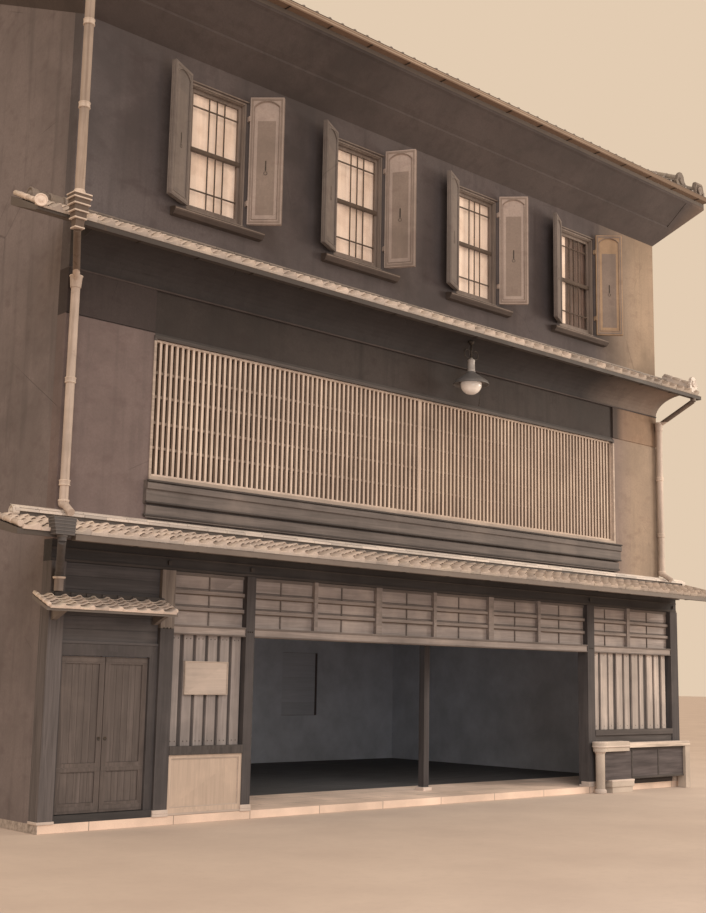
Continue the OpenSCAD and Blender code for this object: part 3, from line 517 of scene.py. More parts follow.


# painted light: the front plaster is paled towards the right-hand end
RIGHT_END_PAINTED_LIGHT = (4.3, 5.6, (2.75, 2.45, 1.80))
M = {
    "wall3": plaster("plaster_third_storey", (0.096, 0.080, 0.080), 0.5, 0.34, RIGHT_END_PAINTED_LIGHT, None, 0.3,
                     [((0, 0.8, 4.0, 1.2), (0.87, 0.86, 0.87)), ((0, -9, -5.2, 0.6), (1.14, 1.20, 1.25))]),
    "wall2": plaster("plaster_second_storey", (0.170, 0.132, 0.127), 0.4, 0.24, None, (0.480, 0.490, 0.530)),
    # painted shade: the piers above z 5.90 and the bands above z 5.86 are darkened under the cove; painted light: right
    # of x 5.0 the piers are paled there again
    "wall2f": plaster("plaster_street_piers", (0.170, 0.132, 0.127), 0.4, 0.24, (4.6, 5.4, (1.58, 1.54, 1.22)), (0.480, 0.490, 0.530), 0.4,
                      [((2, 5.90, 9, 0.004), (0.34, 0.35, 0.36)), ((2, 5.90, 9, 0.004, 5.0), (2.75, 2.40, 2.15))]),
    "band2": plaster("plaster_bands", (0.165, 0.138, 0.128), 0.5, 0.24, None, None, 0.3, [((2, 5.86, 9, 0.01), (0.32, 0.32, 0.33))]),
    # painted shade: the coves and cornices get a very dark plaster for the shade under the eaves; their paling towards
    # the right-hand end is painted light
    "cove": plaster("plaster_coves_painted_shade", (0.046, 0.041, 0.042), 0.35, 0.2, (3.9, 5.8, (5.2, 4.5, 3.7)), None, 0.25),
    "cornice": plaster("plaster_cornices_painted_shade", (0.080, 0.065, 0.063), 0.35, 0.30, (6.15, 6.65, (2.0, 1.75, 1.4)), None, 0.0),
    "side": plaster("plaster_side_walls", (0.180, 0.152, 0.150), 0.6, 0.25, None, (0.480, 0.490, 0.530)),
    "timber_z": wood("timber_upright", (0.085, 0.077, 0.079), 2, wear=0.5, zones=[([(0, -5.84, -5.62)], (0.130, 0.115, 0.115)),
                       ([(0, -4.34, -4.12), (2, 2.3, 3.01)], (0.215, 0.180, 0.160))]),
    "timber_x": wood("timber_level", (0.066, 0.062, 0.063), 0, wear=0.45),
    "timber_xt": wood("timber_level_trim", (0.085, 0.075, 0.072), 0, tone="tone", wear=0.5),
    "timber_zt": wood("timber_upright_trim", (0.100, 0.088, 0.086), 2, tone="tone", wear=0.5),
    "lintel": wood("lintel_timber", (0.350, 0.300, 0.280), 0, wear=0.5),
    "rails": wood("rail_timber", (0.310, 0.266, 0.250), 0, wear=0.5),
    "transom": wood("transom_boards", (0.395, 0.342, 0.325), 0, wear=0.6, vary=0.35),
    "slats": wood("slat_boards", (0.300, 0.268, 0.262), 2, wear=0.45, vary=0.35),
    "slats_r": wood("slat_boards_right", (0.47, 0.41, 0.38), 2, wear=0.45, vary=0.35),
    "dado": wood("dado_boards", (0.57, 0.455, 0.375), 2, grain=0.22, wear=0.3, bands=[(2, 0.801, 0.91, (0.085, 0.075, 0.073))]),
    "dado_t": wood("dado_edge_wood", (0.50, 0.42, 0.37), 0, grain=0.25, tone="tone", wear=0.3),
    "dado_r": wood("dado_boards_right", (0.105, 0.092, 0.090), 0, wear=0.4),
    "sill2": wood("sill_moulding", (0.170, 0.148, 0.140), 0, wear=0.55),
    "sills3": wood("window_sills", (0.095, 0.074, 0.066), 0, wear=0.5),
    # lattice: painted shade on the bar sides and on the cross rails behind the bars
    "lattice": wood("lattice_wood", (0.70, 0.575, 0.495), 2, grain=0.45, vary=0.25, wear=0.35, painted_shade_sides=(0.56, 0.51, 0.47), dim=(-2.6, 0.4, 0.86),
                    zones=[([(1, -3.5364, -3.5), (2, z - 0.019, z + 0.019)], (0.27, 0.212, 0.175)) for z in (4.482, 4.792, 5.117, 5.420)]),
    # painted shade: the lattice's top edge under the cove is darkened
    "lattice_t": wood("lattice_edge_wood", (0.50, 0.410, 0.350), 0, tone="tone", wear=0.35, zones=[([(2, 5.80, 6.0)], (0.105, 0.092, 0.088))]),
    "shoji": wood("screen_bars", (0.085, 0.066, 0.056), 2, tone="tone", wear=0.3),
    "frame": wood("window_frame_wood", (0.215, 0.172, 0.150), 2, wear=0.45, vary=0.25),
    "frame_t": wood("window_trim_wood", (0.235, 0.190, 0.165), 2, tone="tone", wear=0.4),
    "bars": wood("sash_bars", (0.120, 0.088, 0.070), 2, tone="tone", wear=0.4),
    "door": wood("door_wood", (0.135, 0.112, 0.105), 2, wear=0.6, vary=0.3),
    "door_t": wood("door_trim_wood", (0.140, 0.117, 0.110), 2, tone="tone", wear=0.55),
    "overdoor": wood("wall_over_door_boards", (0.100, 0.092, 0.095), 0, wear=0.35),
    "sign": wood("plain_sign_wood", (0.52, 0.44, 0.39), 0, grain=0.25, wear=0.3),
    "sign_t": wood("sign_border_wood", (0.44, 0.37, 0.32), 0, grain=0.3, tone="tone", wear=0.3),
    "floor": wood("floor_boards", (0.22, 0.19, 0.18), 0, wear=0.4),
    # the left leaves and rims get a darker copy and the right leaves and rims a paler copy of one shutter plaster:
    # painted shade and painted light for the way each leaf faces the light
    "shut_painted_shade": plaster("shutter_plaster_left_painted_shade", (0.166, 0.141, 0.130), 0.5, 0.28),
    "shut_painted_light": plaster("shutter_plaster_right_painted_light", (0.400, 0.325, 0.290), 0.5, 0.34, (4.15, 4.28, (1.04, 0.90, 0.68))),
    "shut_t": plaster("shutter_rims", (0.270, 0.215, 0.185), 0.4, 0.3),
    "shut_rims_painted_shade": plaster("shutter_rims_left_painted_shade", (0.185, 0.155, 0.140), 0.4, 0.22),
    "tiles": tile_clay("roof_tiles", (0.76, 0.635, 0.555), True, (-5.0, 5.5, 0.62)),
    "tiles_mid": tile_clay("upper_pent_tiles", (0.72, 0.60, 0.52), True, (-1.0, 6.0, 0.56)),
    "tiles_canopy": tile_clay("canopy_roof_tiles", (0.82, 0.68, 0.59)),
    "tiles_top": tile_clay("roof_tiles_high", (0.36, 0.315, 0.285)),
    "tiles_end": tile_clay("end_tiles", (0.260, 0.210, 0.178)),
    # painted shade: the canopy bedding and its brackets are made dark, as shade beneath the canopy tiles
    "canopy_bed": tile_clay("canopy_bedding_painted_shade", (0.19, 0.160, 0.142), False),
    "tile_bed": tile_clay("tile_bedding", (0.115, 0.094, 0.083), False),
    "noshi": tile_clay("noshi_tiles", (0.64, 0.56, 0.505)),
    "slab": stone_mat("floor_slab_stone", (0.85, 0.66, 0.545), (1.15, 0.62),
                      [([(0, -5.649, 6.4295), (1, -2.02, 3.399), (2, 0.099, 0.101)], (0.105, 0.100, 0.100)),
                       ([(0, -5.9, -5.822)], (0.40, 0.34, 0.30)), ([(0, 6.602, 6.7)], (0.40, 0.34, 0.30)), ([(1, 3.592, 3.7)], (0.40, 0.34, 0.30))]),
    "stone": stone_mat("post_stone", (0.52, 0.445, 0.385), None,
                       [([(0, 4.206, 6.4395), (1, -3.775, -3.725), (2, 0.2005, 0.7045)], (0.095, 0.081, 0.083)),
                        ([(0, 4.819, 6.60), (2, 0.7051, 0.80)], (0.60, 0.51, 0.44))]),
    "stone_t": stone_mat("post_stone_trim", (0.66, 0.56, 0.50)),
    # painted shade: the hopper body between its ribs and the pipe just below it (z 6.34 to 7.02) are darkened; the pipe
    # above z 7.02 is a little darker
    "pipe": paint_metal("pipe_paint", (0.52, 0.425, 0.365), 0.25, 0.55, [((7.02, 11.0), (0.74, 0.72, 0.70)), ((6.61, 7.02), (0.24, 0.21, 0.19)),
                       ((6.34, 6.61), (0.30, 0.27, 0.25))]),
    "pipe_t": paint_metal("pipe_collar_paint", (0.66, 0.55, 0.47), 0.2),
    "gutter": gutter_metal("gutter_paint"),
    "gutter_rim": paint_metal("gutter_rim_paint", (0.115, 0.082, 0.066), 0.5),
    "gutter_low_rim": paint_metal("lower_gutter_rim_paint", (0.24, 0.198, 0.172), 0.35),
    "transom_t": wood("transom_moulding_wood", (0.190, 0.162, 0.150), 0, tone="tone", wear=0.45),
    "rear_boards": wood("rear_screen_backing", (0.46, 0.465, 0.50), 0, wear=0.15, grain=0.15),
    "hopper": paint_metal("hopper_paint", (0.088, 0.080, 0.080), 0.2, 0.55, [((2.6, 2.80), (2.9, 2.6, 2.3))]),
    "hopper_t": paint_metal("hopper_rib_paint", (0.13, 0.118, 0.115), 0.2),
    "iron": dark_iron("dark_iron"),
    "enamel": paint_metal("lamp_enamel", (0.13, 0.122, 0.122), 0.25, 0.4),
    "neck": paint_metal("lamp_neck_metal", (0.42, 0.39, 0.37), 0.1, 0.3),
    "paper": paper_mat("screen_paper", (0.140, 0.107, 0.087)),
    "blind": cloth_with_painted_glow("window_blinds", (0.93, 0.79, 0.69)),
    "blind_dim": wood("window_curtain_dark", (0.195, 0.142, 0.126), 2, grain=0.7, vary=0.0, wear=0.5, tone="tone"),
    "noshi_dim": tile_clay("noshi_tiles_upper", (0.250, 0.205, 0.178)),
    "glass": window_glass("window_glass"),
    "opal": opal("opal_glass"),
}

NODE_MATERIAL = {
    "ground_floor": "slab", "front_posts": "timber_z", "shop_lintel": "lintel", "front_girder": "timber_x",
    "transom_boards": "transom", "transom_rails": "rails", "wall_over_door": "overdoor", "door_frame": "timber_z",
    "threshold": "timber_x", "door_leaf_left": "door", "door_leaf_right": "door", "door_canopy": "canopy_bed",
    "slat_screen_left": "slats", "dado_left": "dado", "sign_board": "sign", "slat_screen_right": "slats_r",
    "dado_right": "dado_r", "low_post_and_rail": "stone", "lower_roofs": "tile_bed", "side_roof": "tile_bed",
    "roof_wall_courses": "tile_bed", "door_hinges_left": "iron", "door_hinges_right": "iron",
    "left_wall": "side", "right_wall_ground": "side", "right_wall_upper": "side", "rear_wall_ground": "wall2",
    "rear_wall_bands": "wall2", "rear_wall_piers": "wall2", "rear_slat_screens": "slats", "floor_2f": "floor",
    "floor_3f": "floor", "front_wall_2f_sides": "wall2f", "front_wall_2f_bands": "band2", "sill_band_2f": "sill2",
    "lattice_2f_left": "lattice", "lattice_2f_right": "lattice", "paper_screens_2f": "paper",
    "pent_roofs_3f": "tile_bed", "pent_coves_3f": "cove", "front_wall_3f_bands": "wall3",
    "front_wall_3f_piers": "wall3", "window_frames": "frame", "window_panes": "glass", "window_sills": "sills3",
    "shutters_left": "shut_painted_shade", "shutters_right": "shut_painted_light", "eave_cornices": "cornice", "verge_cornices": "cornice",
    "main_roof_front": "tile_bed", "main_roof_rear": "tile_bed", "roof_ridges": "tile_bed",
    "verge_ridges": "tile_bed", "roof_end_tiles": "tiles_end", "gutters": "gutter", "downpipe_left": "pipe",
    "downpipe_right": "pipe", "eave_hopper": "hopper", "street_lamp": "enamel",
}
BEVELLED = {
    "front_posts": 8, "shop_lintel": 6, "front_girder": 8, "transom_rails": 3, "door_frame": 4, "threshold": 6,
    "door_leaf_left": 3, "door_leaf_right": 3, "slat_screen_left": 3, "slat_screen_right": 3, "sign_board": 3,
    "dado_left": 4, "dado_right": 4, "low_post_and_rail": 10, "window_frames": 3, "window_sills": 6,
    "shutters_left": 5, "shutters_right": 5, "sill_band_2f": 5, "roof_end_tiles": 10, "ground_floor": 8,
    "eave_hopper": 2, "front_wall_2f_sides": 5,
}
for name, ob in NODES.items():
    key = NODE_MATERIAL.get(name, "wall2")
    ob.data.materials.clear()
    ob.data.materials.append(M[key])
    if name in BEVELLED:
        b = ob.modifiers.new("edge", "BEVEL")
        b.width = BEVELLED[name] * 0.001
        b.segments = 2
        b.limit_method = "ANGLE"
        b.angle_limit = math.radians(40)
        b.harden_normals = False


# ---------------------------------------------------------------- tiles
PROFILE_U = np.array([0.0, 0.10, 0.24, 0.40, 0.54, 0.64, 0.73, 0.82, 0.91, 1.0])
PROFILE_H = np.array([0.22, 0.09, 0.0, 0.02, 0.14, 0.42, 0.80, 1.0, 0.84, 0.44])


class Slope:
    """A roof plane: from an edge point up to a top point in (y, z), drawn along x, or the same turned for a side slope."""

    def __init__(self, edge, top, along="x", sign=1):
        self.e, self.t, self.along = Vector(edge), Vector(top), along
        d = self.t - self.e
        self.length = d.length
        self.d = d.normalized()
        n = Vector((-self.d.y, self.d.x))
        self.n = n if n.y > 0 else -n
        self.flip = (self.d.x < 0) if along == "x" else (self.d.x > 0)

    def at(self, u, s, h):
        """u along the eave, s up the slope, h off the plane; arrays in, points out."""
        a = self.e.x + self.d.x * s + self.n.x * h
        z = self.e.y + self.d.y * s + self.n.y * h
        return np.stack([u, a, z], -1) if self.along == "x" else np.stack([a, u, z], -1)


def tile_field(b, slope, x0, x1, cols, rows, roll=50.0, lift=24.0, thick=17.0, s0=0.0, s1=None, eave=True, drop=16.0,
               boss=0.15, lap=46.0, straight=None):
    """Rows of closed pantiles, each with a rolled side, a rounded lower edge and a lip.

    The lowest row has small round bosses, or with straight a level lower edge at that height over the roof plane.
    """
    s1 = slope.length if s1 is None else s1
    w, p = (x1 - x0) / cols, (s1 - s0) / rows
    n = len(PROFILE_U)
    # points: lip bottom, lip top, the same again, back of the rounded edge, tail top, tail bottom
    faces, smooth = [], []
    for r, sm in ((0, False), (2, True), (3, True), (4, False)):
        for k in range(n - 1):
            faces.append((r * n + k, r * n + k + 1, (r + 1) * n + k + 1, (r + 1) * n + k))
            smooth.append(sm)
    for k in range(n - 1):
        faces.append((5 * n + k, 5 * n + k + 1, k + 1, k))
        smooth.append(False)
    faces += [(0, n, 3 * n, 4 * n, 5 * n), (n - 1, 6 * n - 1, 5 * n - 1, 4 * n - 1, 2 * n - 1)]
    smooth += [False, False]
    for r in range(rows):
        for c in range(cols):
            js, jh, tw = rng.uniform(-4, 4), rng.uniform(-2.0, 2.0), rng.uniform(-2.5, 2.5)
            u = x0 + (c + PROFILE_U * 0.996) * w
            h = PROFILE_H * roll + tw * (PROFILE_U - 0.5) + jh + 4
            sa = s0 + r * p + js - (22 if r == 0 and eave else 0)
            sb = s0 + (r + 1) * p + lap
            if r == rows - 1:
                sb = s0 + (r + 1) * p
            deep = thick + (drop if r == 0 and eave else 0)
            z = np.zeros(n)
            low = h + lift - deep if straight is None or r else z + straight
            pts = np.concatenate([
                slope.at(u, z + sa + 3, low),
                slope.at(u, z + sa, h + lift - 4),
                slope.at(u, z + sa, h + lift - 4),
                slope.at(u, z + sa + 9, h + lift),
                slope.at(u, z + sb, h),
                slope.at(u, z + sb, h - 12),
            ])
            tone = min(1.0, max(0.0, rng.gauss(0.5, 0.26)))
            b.add(pts, faces, tone, smooth, slope.flip)
            if r == 0 and eave and straight is None:
                m, cu, ch = 12, x0 + (c + 0.82) * w, roll + lift - 20
                a = np.arange(m) * 2 * math.pi / m
                rad = min(38.0, w * boss)
                rings = [slope.at(cu + np.cos(a) * q, np.zeros(m) + sa - o, ch + np.sin(a) * q)
                         for q, o in ((rad * 0.6, -4), (rad, -4), (rad, 9), (rad * 0.82, 12), (rad * 0.7, 8), (rad * 0.4, 9))]
                disc = [(i * m + k, i * m + (k + 1) % m, (i + 1) * m + (k + 1) % m, (i + 1) * m + k)
                        for i in range(5) for k in range(m)] + [tuple(range(5 * m, 6 * m)), tuple(range(m))[::-1]]
                b.add(np.concatenate(rings), disc, tone, False, not slope.flip)


def noshi(b, x0, x1, y, z0, z1, side, courses, piece=300.0, out=10.0, fill=0.62):
    """Flat ridge tiles bedded in courses against a wall or a ridge; side is the way they look out, -1 or 1 along y."""
    ch = (z1 - z0) / courses
    for k in range(courses):
        x = x0 + (0 if k % 2 == 0 else -piece / 2)
        while x < x1:
            a, c = max(x + 2, x0), min(x + piece - 2, x1)
            x += piece
            if c - a < 20:
                continue
            j, dz = rng.uniform(-2.5, 2.5), rng.uniform(-1.2, 1.2)
            ya = y + side * (out + j)
            yb = y - side * 30
            zt = z0 + (k + 1) * ch + dz - 1
            zb = zt - ch * fill
            pts = [(ya, zb + 3), (ya, zt - 4), (ya - side * 4, zt), (yb, zt + 3), (yb, zb)]
            b.prism(0, a, c, pts, rng.random())


def round_course(b, pts, r, piece=260.0, tone=None):
    """Half-round cover tiles in a line between two points, each with a collar at its lower end."""
    a, e = Vector(pts[0]), Vector(pts[1])
    n = max(1, int(round((e - a).length / piece)))
    for i in range(n):
        p, q = a.lerp(e, i / n), a.lerp(e, (i + 1) / n)
        d = (q - p).normalized()
        k = r * rng.uniform(0.98, 1.015)
        b.tube([p + d * 2, p + d * 4, p + d * 34, p + d * 38, q + d * 6],
               [k * 0.9, k * 1.05, k * 1.05, k * 0.97, k * 0.93], 14, tone=rng.random(), caps=True)


def boss_plate(b, centre, axis, r, tone=0.6):
    """Round end tile: a rim, a hollow ring and a plain domed middle."""
    b.lathe(centre, axis, [(-60, r * 0.9), (0, r * 0.94), (8, r), (22, r), (26, r * 0.94), (24, r * 0.84), (14, r * 0.78),
                           (13, r * 0.58), (18, r * 0.46), (27, r * 0.34), (32, r * 0.16), (33, 0)], 26, tone)


def main_roof():
    x0, x1 = LEFT_X - VERGE + 160, RIGHT_X + VERGE - 160
    for sign, name in ((-1, "front"), (1, "rear")):
        b = Build()
        edge = (sign * 4356.0, over(4356))
        top = (sign * 228.0, over(228))
        tile_field(b, Slope(edge, top), x0, x1, 55, 19)
        b.make("roof_tiles_" + name, M["tiles_top"], "tile")
    # tiles that cover the edges of the gables, with a hanging side
    b = Build()
    for side in (-1, 1):
        xe = LEFT_X - VERGE if side < 0 else RIGHT_X + VERGE
        for sy in (-1, 1):
            n = 19
            for i in range(n):
                ya, yb = 4356.0 - (4356 - 228) * i / n + 12, 4356.0 - (4356 - 228) * (i + 1) / n - 14
                za, zb = over(ya), over(yb)
                t = rng.random()
                v = []
                for y, z, lift in ((ya, za, 20.0), (yb, zb, 0.0)):
                    for dx, dz in ((-150, 152), (8, 152), (16, 140), (16, 22), (6, 22), (6, 130), (-150, 134)):
                        v.append((xe + side * dx, sy * y, z + dz + lift * 0.8))
                m = 7
                faces = [(k, (k + 1) % m, m + (k + 1) % m, m + k) for k in range(m)]
                faces += [tuple(range(m))[::-1], tuple(range(m, 2 * m))]
                b.add(v, faces, t, False, flip=(side * sy < 0))
    b.make("verge_cover_tiles", M["tiles_top"], "tile")
    b = Build()
    for side in (-1, 1):
        xe = LEFT_X - VERGE if side < 0 else RIGHT_X + VERGE
        for sy in (-1, 1):
            xc = xe - side * 80
            round_course(b, [(xc, sy * 4270.0, over(4270) + 158), (xc, sy * 330.0, over(330) + 158)], 62, 238)
            boss_plate(b, (xc, sy * 4296.0, over(4290) + 160), (0, sy, 0), 66)
            xc = xe - side * 506
            round_course(b, [(xc, sy * 4150.0, over(4150) + 246), (xc, sy * 170.0, over(170) + 240)], 66, 262)
            # bedded courses on both flanks of the falling ridge
            for level, half in ((34, 108), (78, 106), (122, 104), (196, 66)):
                n = 14
                for i in range(n):
                    ya = 4150.0 - (4150 - 240) * i / n
                    yb = 4150.0 - (4150 - 240) * (i + 1) / n + 5
                    for f in (-1, 1):
                        w = half + rng.uniform(-2, 2)
                        t = rng.random()
                        v = []
                        for y in (ya, yb):
                            z = over(y) + level
                            for dx, dz in ((w - 26, 0), (w + 6, 2), (w + 6, 22), (w - 26, 27)):
                                v.append((xc + f * dx, sy * y, z + dz))
                        faces = [(0, 1, 5, 4), (1, 2, 6, 5), (2, 3, 7, 6), (3, 0, 4, 7), (3, 2, 1, 0), (4, 5, 6, 7)]
                        b.add(v, faces, t, False, flip=(f * sy > 0))
    b.make("falling_ridge_tiles", M["tiles_top"], "tile")
    # main ridge
    b = Build()
    x0, x1 = LEFT_X - VERGE + 92, RIGHT_X + VERGE - 92
    rz = over(0)
    for s in (-1, 1):
        noshi(b, x0, x1, s * 230.0, rz - 60, rz + 58, s, 2)
        noshi(b, x0, x1, s * 190.0, rz + 62, rz + 128, s, 2)
        noshi(b, x0, x1, s * 160.0, rz + 132, rz + 198, s, 2)
        noshi(b, x0, x1, s * 130.0, rz + 202, rz + 258, s, 1)
    round_course(b, [(x0, 0, rz + 262), (x1, 0, rz + 262)], 97, 300)
    b.make("main_ridge_tiles", M["tiles_top"], "tile")
    # relief on the end tiles: rim, scrolls at the sides and a plain boss
    b = Build()
    for side in (-1, 1):
        xe = LEFT_X - VERGE + 30 if side < 0 else RIGHT_X + VERGE - 30
        c = (xe + side * 4, 0, rz - 80 + 275)
        boss_plate(b, (c[0] + side * 22, c[1], c[2]), (side, 0, 0), 118, 0.5)
        for f in (-1, 1):
            for k, (dy, dz, r) in enumerate(((205, 60, 62), (232, 178, 50), (150, 330, 44), (90, 408, 34))):
                pts = [(c[0], f * (dy + r * (1 - q * 0.09) * math.cos(q * 0.62)), rz - 80 + dz + r * (1 - q * 0.09) * math.sin(q * 0.62))
                       for q in range(10)]
                b.tube(pts, [16 - q for q in range(10)], 8, 0.5)
    for side in (-1, 1):
        xc = (LEFT_X - VERGE + 506) if side < 0 else (RIGHT_X + VERGE - 506)
        for sy in (-1, 1):
            y, z = sy * 4162.0, over(4215)
            boss_plate(b, (xc, y + sy * 30, z + 210), (0, sy, 0), 62, 0.55)
            for f in (-1, 1):
                for dx, dz, r in ((98, 60, 32), (112, 150, 26), (72, 260, 24)):
                    pts = [(xc + f * (dx + r * (1 - q * 0.1) * math.cos(q * 0.7)), y, z + dz + r * (1 - q * 0.1) * math.sin(q * 0.7)) for q in range(8)]
                    b.tube(pts, [10 - q * 0.8 for q in range(8)], 6, 0.5)
            xk = (LEFT_X - VERGE + 145) if side < 0 else (RIGHT_X + VERGE - 145)
            boss_plate(b, (xk, sy * 4372.0, over(4356) + 150), (0, sy, 0), 74, 0.55)
            b.tube([(xk - 118, sy * 4364.0, over(4356) + 30), (xk - 118, sy * 4364.0, over(4356) + 175), (xk - 88, sy * 4364.0, over(4356) + 262),
                    (xk + 88, sy * 4364.0, over(4356) + 262), (xk + 118, sy * 4364.0, over(4356) + 175), (xk + 118, sy * 4364.0, over(4356) + 30)],
                   13, 8, 0.5)
    b.make("end_tile_relief", M["tiles_end"], "tile")


def pent_tiles():
    for sign, name in ((-1, "front"), (1, "rear")):
        b = Build()
        ye = sign * (3600.0 + LOW_OUT)
        # at the rear the eave row ends at the deck's edge, because no trough hangs there
        edge = (ye, 3222.0) if sign < 0 else (ye - 62, 3222.0 + 228 * 62 / 870)
        full = Slope(edge, (sign * (3600.0 + 116), 3450.0 - 228 * 116 / 870))
        tile_field(b, full, -6743 + 60, 6743 - 60, 66, 5, roll=42, lift=32, thick=15, lap=54, straight=0)
        # rolled tiles that close both ends
        for side in (-1, 1):
            x = side * (6743 - 38)
            round_course(b, [(x, ye + sign * 6, 3222 + 48), (x, sign * 3640.0, 3440 + 38)], 34, 176)
        b.make("lower_roof_tiles_" + name, M["tiles"], "tile")
        b = Build()
        x0, x1 = -6743 + 350, RIGHT_X + 560
        noshi(b, x0, x1, sign * (3600.0 + 120), 3496, 3534, sign, 1, 290, 26, 0.9)
        noshi(b, x0, x1, sign * (3600.0 + 88), 3535, 3561, sign, 1, 290, 22, 0.86)
        # lime fillet over the courses
        b.prism(0, x0 + 4, x1 - 4, [(sign * 3680.0, 3560), (sign * 3602.0, 3584), (sign * 3602.0, 3556)], 0.9)
        for side, xe in ((-1, x0), (1, x1)):
            boss_plate(b, (xe + side * 4, sign * 3688.0, 3500), (side, 0, 0), 58, 0.6)
        b.make("lower_noshi_courses_" + name, M["noshi"], "tile")
        b = Build()
        ye = sign * (3600.0 + MID_OUT)
        full = Slope((ye, 6825.0), (sign * (3600.0 + 146), 7110.0 - 285 * 146 / 640))
        tile_field(b, full, -6620 + 60, 6500 - 60, 57, 4, roll=58, lift=22, thick=12, lap=50, straight=-4)
        for side, x in ((-1, -6620 + 36), (1, 6500 - 36)):
            round_course(b, [(x, ye + sign * 6, 6825 + 44), (x, sign * 3640.0, 7110 + 34)], 34, 176)
        # larger round end tile at the left corner of the eave
        boss_plate(b, (-6588.0, sign * 4250.0, 6890), (-0.45, sign, 0), 74, 0.95)
        b.make("upper_pent_tiles_" + name, M["tiles_mid"], "tile")
        b = Build()
        x0, x1 = -6620 + 200, 6500 - 60
        noshi(b, x0, x1, sign * (3600.0 + 150), 7070, 7122, sign, 1, 290, 22)
        noshi(b, x0, x1, sign * (3600.0 + 110), 7126, 7166, sign, 1, 290, 18)
        b.prism(0, x0 + 4, x1 - 4, [(sign * 3690.0, 7168), (sign * 3602.0, 7216), (sign * 3602.0, 7160)], 0.9)
        round_course(b, [(x0 + 10, sign * 3704.0, 7150), (LEFT_X - 4, sign * 3704.0, 7150)], 76, 200)
        boss_plate(b, (x0 - 8, sign * 3704.0, 7150), (-1, 0, 0), 86, 0.75)
        boss_plate(b, (x1 + 8, sign * 3704.0, 7130), (1, 0, 0), 74, 0.6)
        b.make("upper_noshi_courses_" + name, M["noshi_dim"], "tile")
        b = Build()
        # raised course and end tile at the right corner
        cx = 6340.0
        for half, h0, h1 in ((92, 10, 96), (60, 96, 150)):
            b.add([(cx + f * half, sign * y, z + h) for y, z in ((4190.0, 6847.0), (3620.0, 7101.0)) for f, h in
                   ((-1, h0), (1, h0), (1, h1), (-1, h1))],
                  [(0, 1, 5, 4), (1, 2, 6, 5), (2, 3, 7, 6), (3, 0, 4, 7), (3, 2, 1, 0), (4, 5, 6, 7)], 0.5, False, flip=sign > 0)
        round_course(b, [(cx, sign * 4180.0, 7006), (cx, sign * 3640.0, 7248)], 50, 190)
        pl = [(-120, 0), (120, 0), (104, 92), (122, 132), (92, 168), (74, 236), (34, 276), (-34, 276), (-74, 236), (-92, 168), (-122, 132), (-104, 92)]
        b.prism(1, sign * 4186.0, sign * 4236.0, [(cx + p, 6858 + q) for p, q in pl], 0.55)
        boss_plate(b, (cx, sign * 4238.0, 7010), (0, sign, 0), 58, 0.6)
        for f in (-1, 1):
            for dx, dz, r in ((80, 44, 26), (94, 128, 22), (60, 214, 20)):
                pts = [(cx + f * (dx + r * (1 - q * 0.1) * math.cos(q * 0.7)), sign * 4238.0, 6858 + dz + r * (1 - q * 0.1) * math.sin(q * 0.7)) for q in range(8)]
                b.tube(pts, [9 - q * 0.7 for q in range(8)], 6, 0.6)
        b.make("upper_corner_tiles_" + name, M["noshi"], "tile")
    # canopy over the entrance
    b = Build()
    tile_field(b, Slope((YF - 345, 2455.0), (YF - 6, 2597.5)), -6050 + 34, -4320 - 34, 9, 5, roll=31, lift=22, thick=11,
               lap=30, straight=0)
    for x in (-6050 + 24, -4320 - 24):
        round_course(b, [(x, YF - 350, 2455 + 30), (x, YF - 8, 2600 + 26)], 25, 88)
    b.make("canopy_tiles", M["tiles_canopy"], "tile")
    b = Build()
    b.box(-5826, -4328, YF - 52, YF - 2, 2604, 2652, 0.3)
    for i in range(8):
        x = -5806 + i * 205.0
        b.box(x, x + 46, YF - 70, YF - 50, 2606, 2646, 0.7)
    b.make("canopy_wall_rail", M["timber_xt"], "timber", bevel=4)
    # lean-to at the right
    b = Build()
    tile_field(b, Slope((SHOP_X + 100, 3290.0), (RIGHT_X + 40, 3438.0), "y"), YF + 30, YR - 30, 31, 3, roll=44, lift=24, thick=17, eave=False)
    b.make("side_roof_tiles", M["tiles"], "tile")
    b = Build()
    n = 24
    for i in range(n):
        y0, y1 = YF + 7200 * i / n + 2, YF + 7200 * (i + 1) / n - 2
        j = rng.uniform(-2, 2)
        b.prism(1, y0, y1, [(RIGHT_X + 62 + j, 3466), (RIGHT_X + 62 + j, 3490), (RIGHT_X + 2, 3530), (RIGHT_X + 2, 3462)])
    b.make("side_roof_noshi", M["noshi"], "tile")


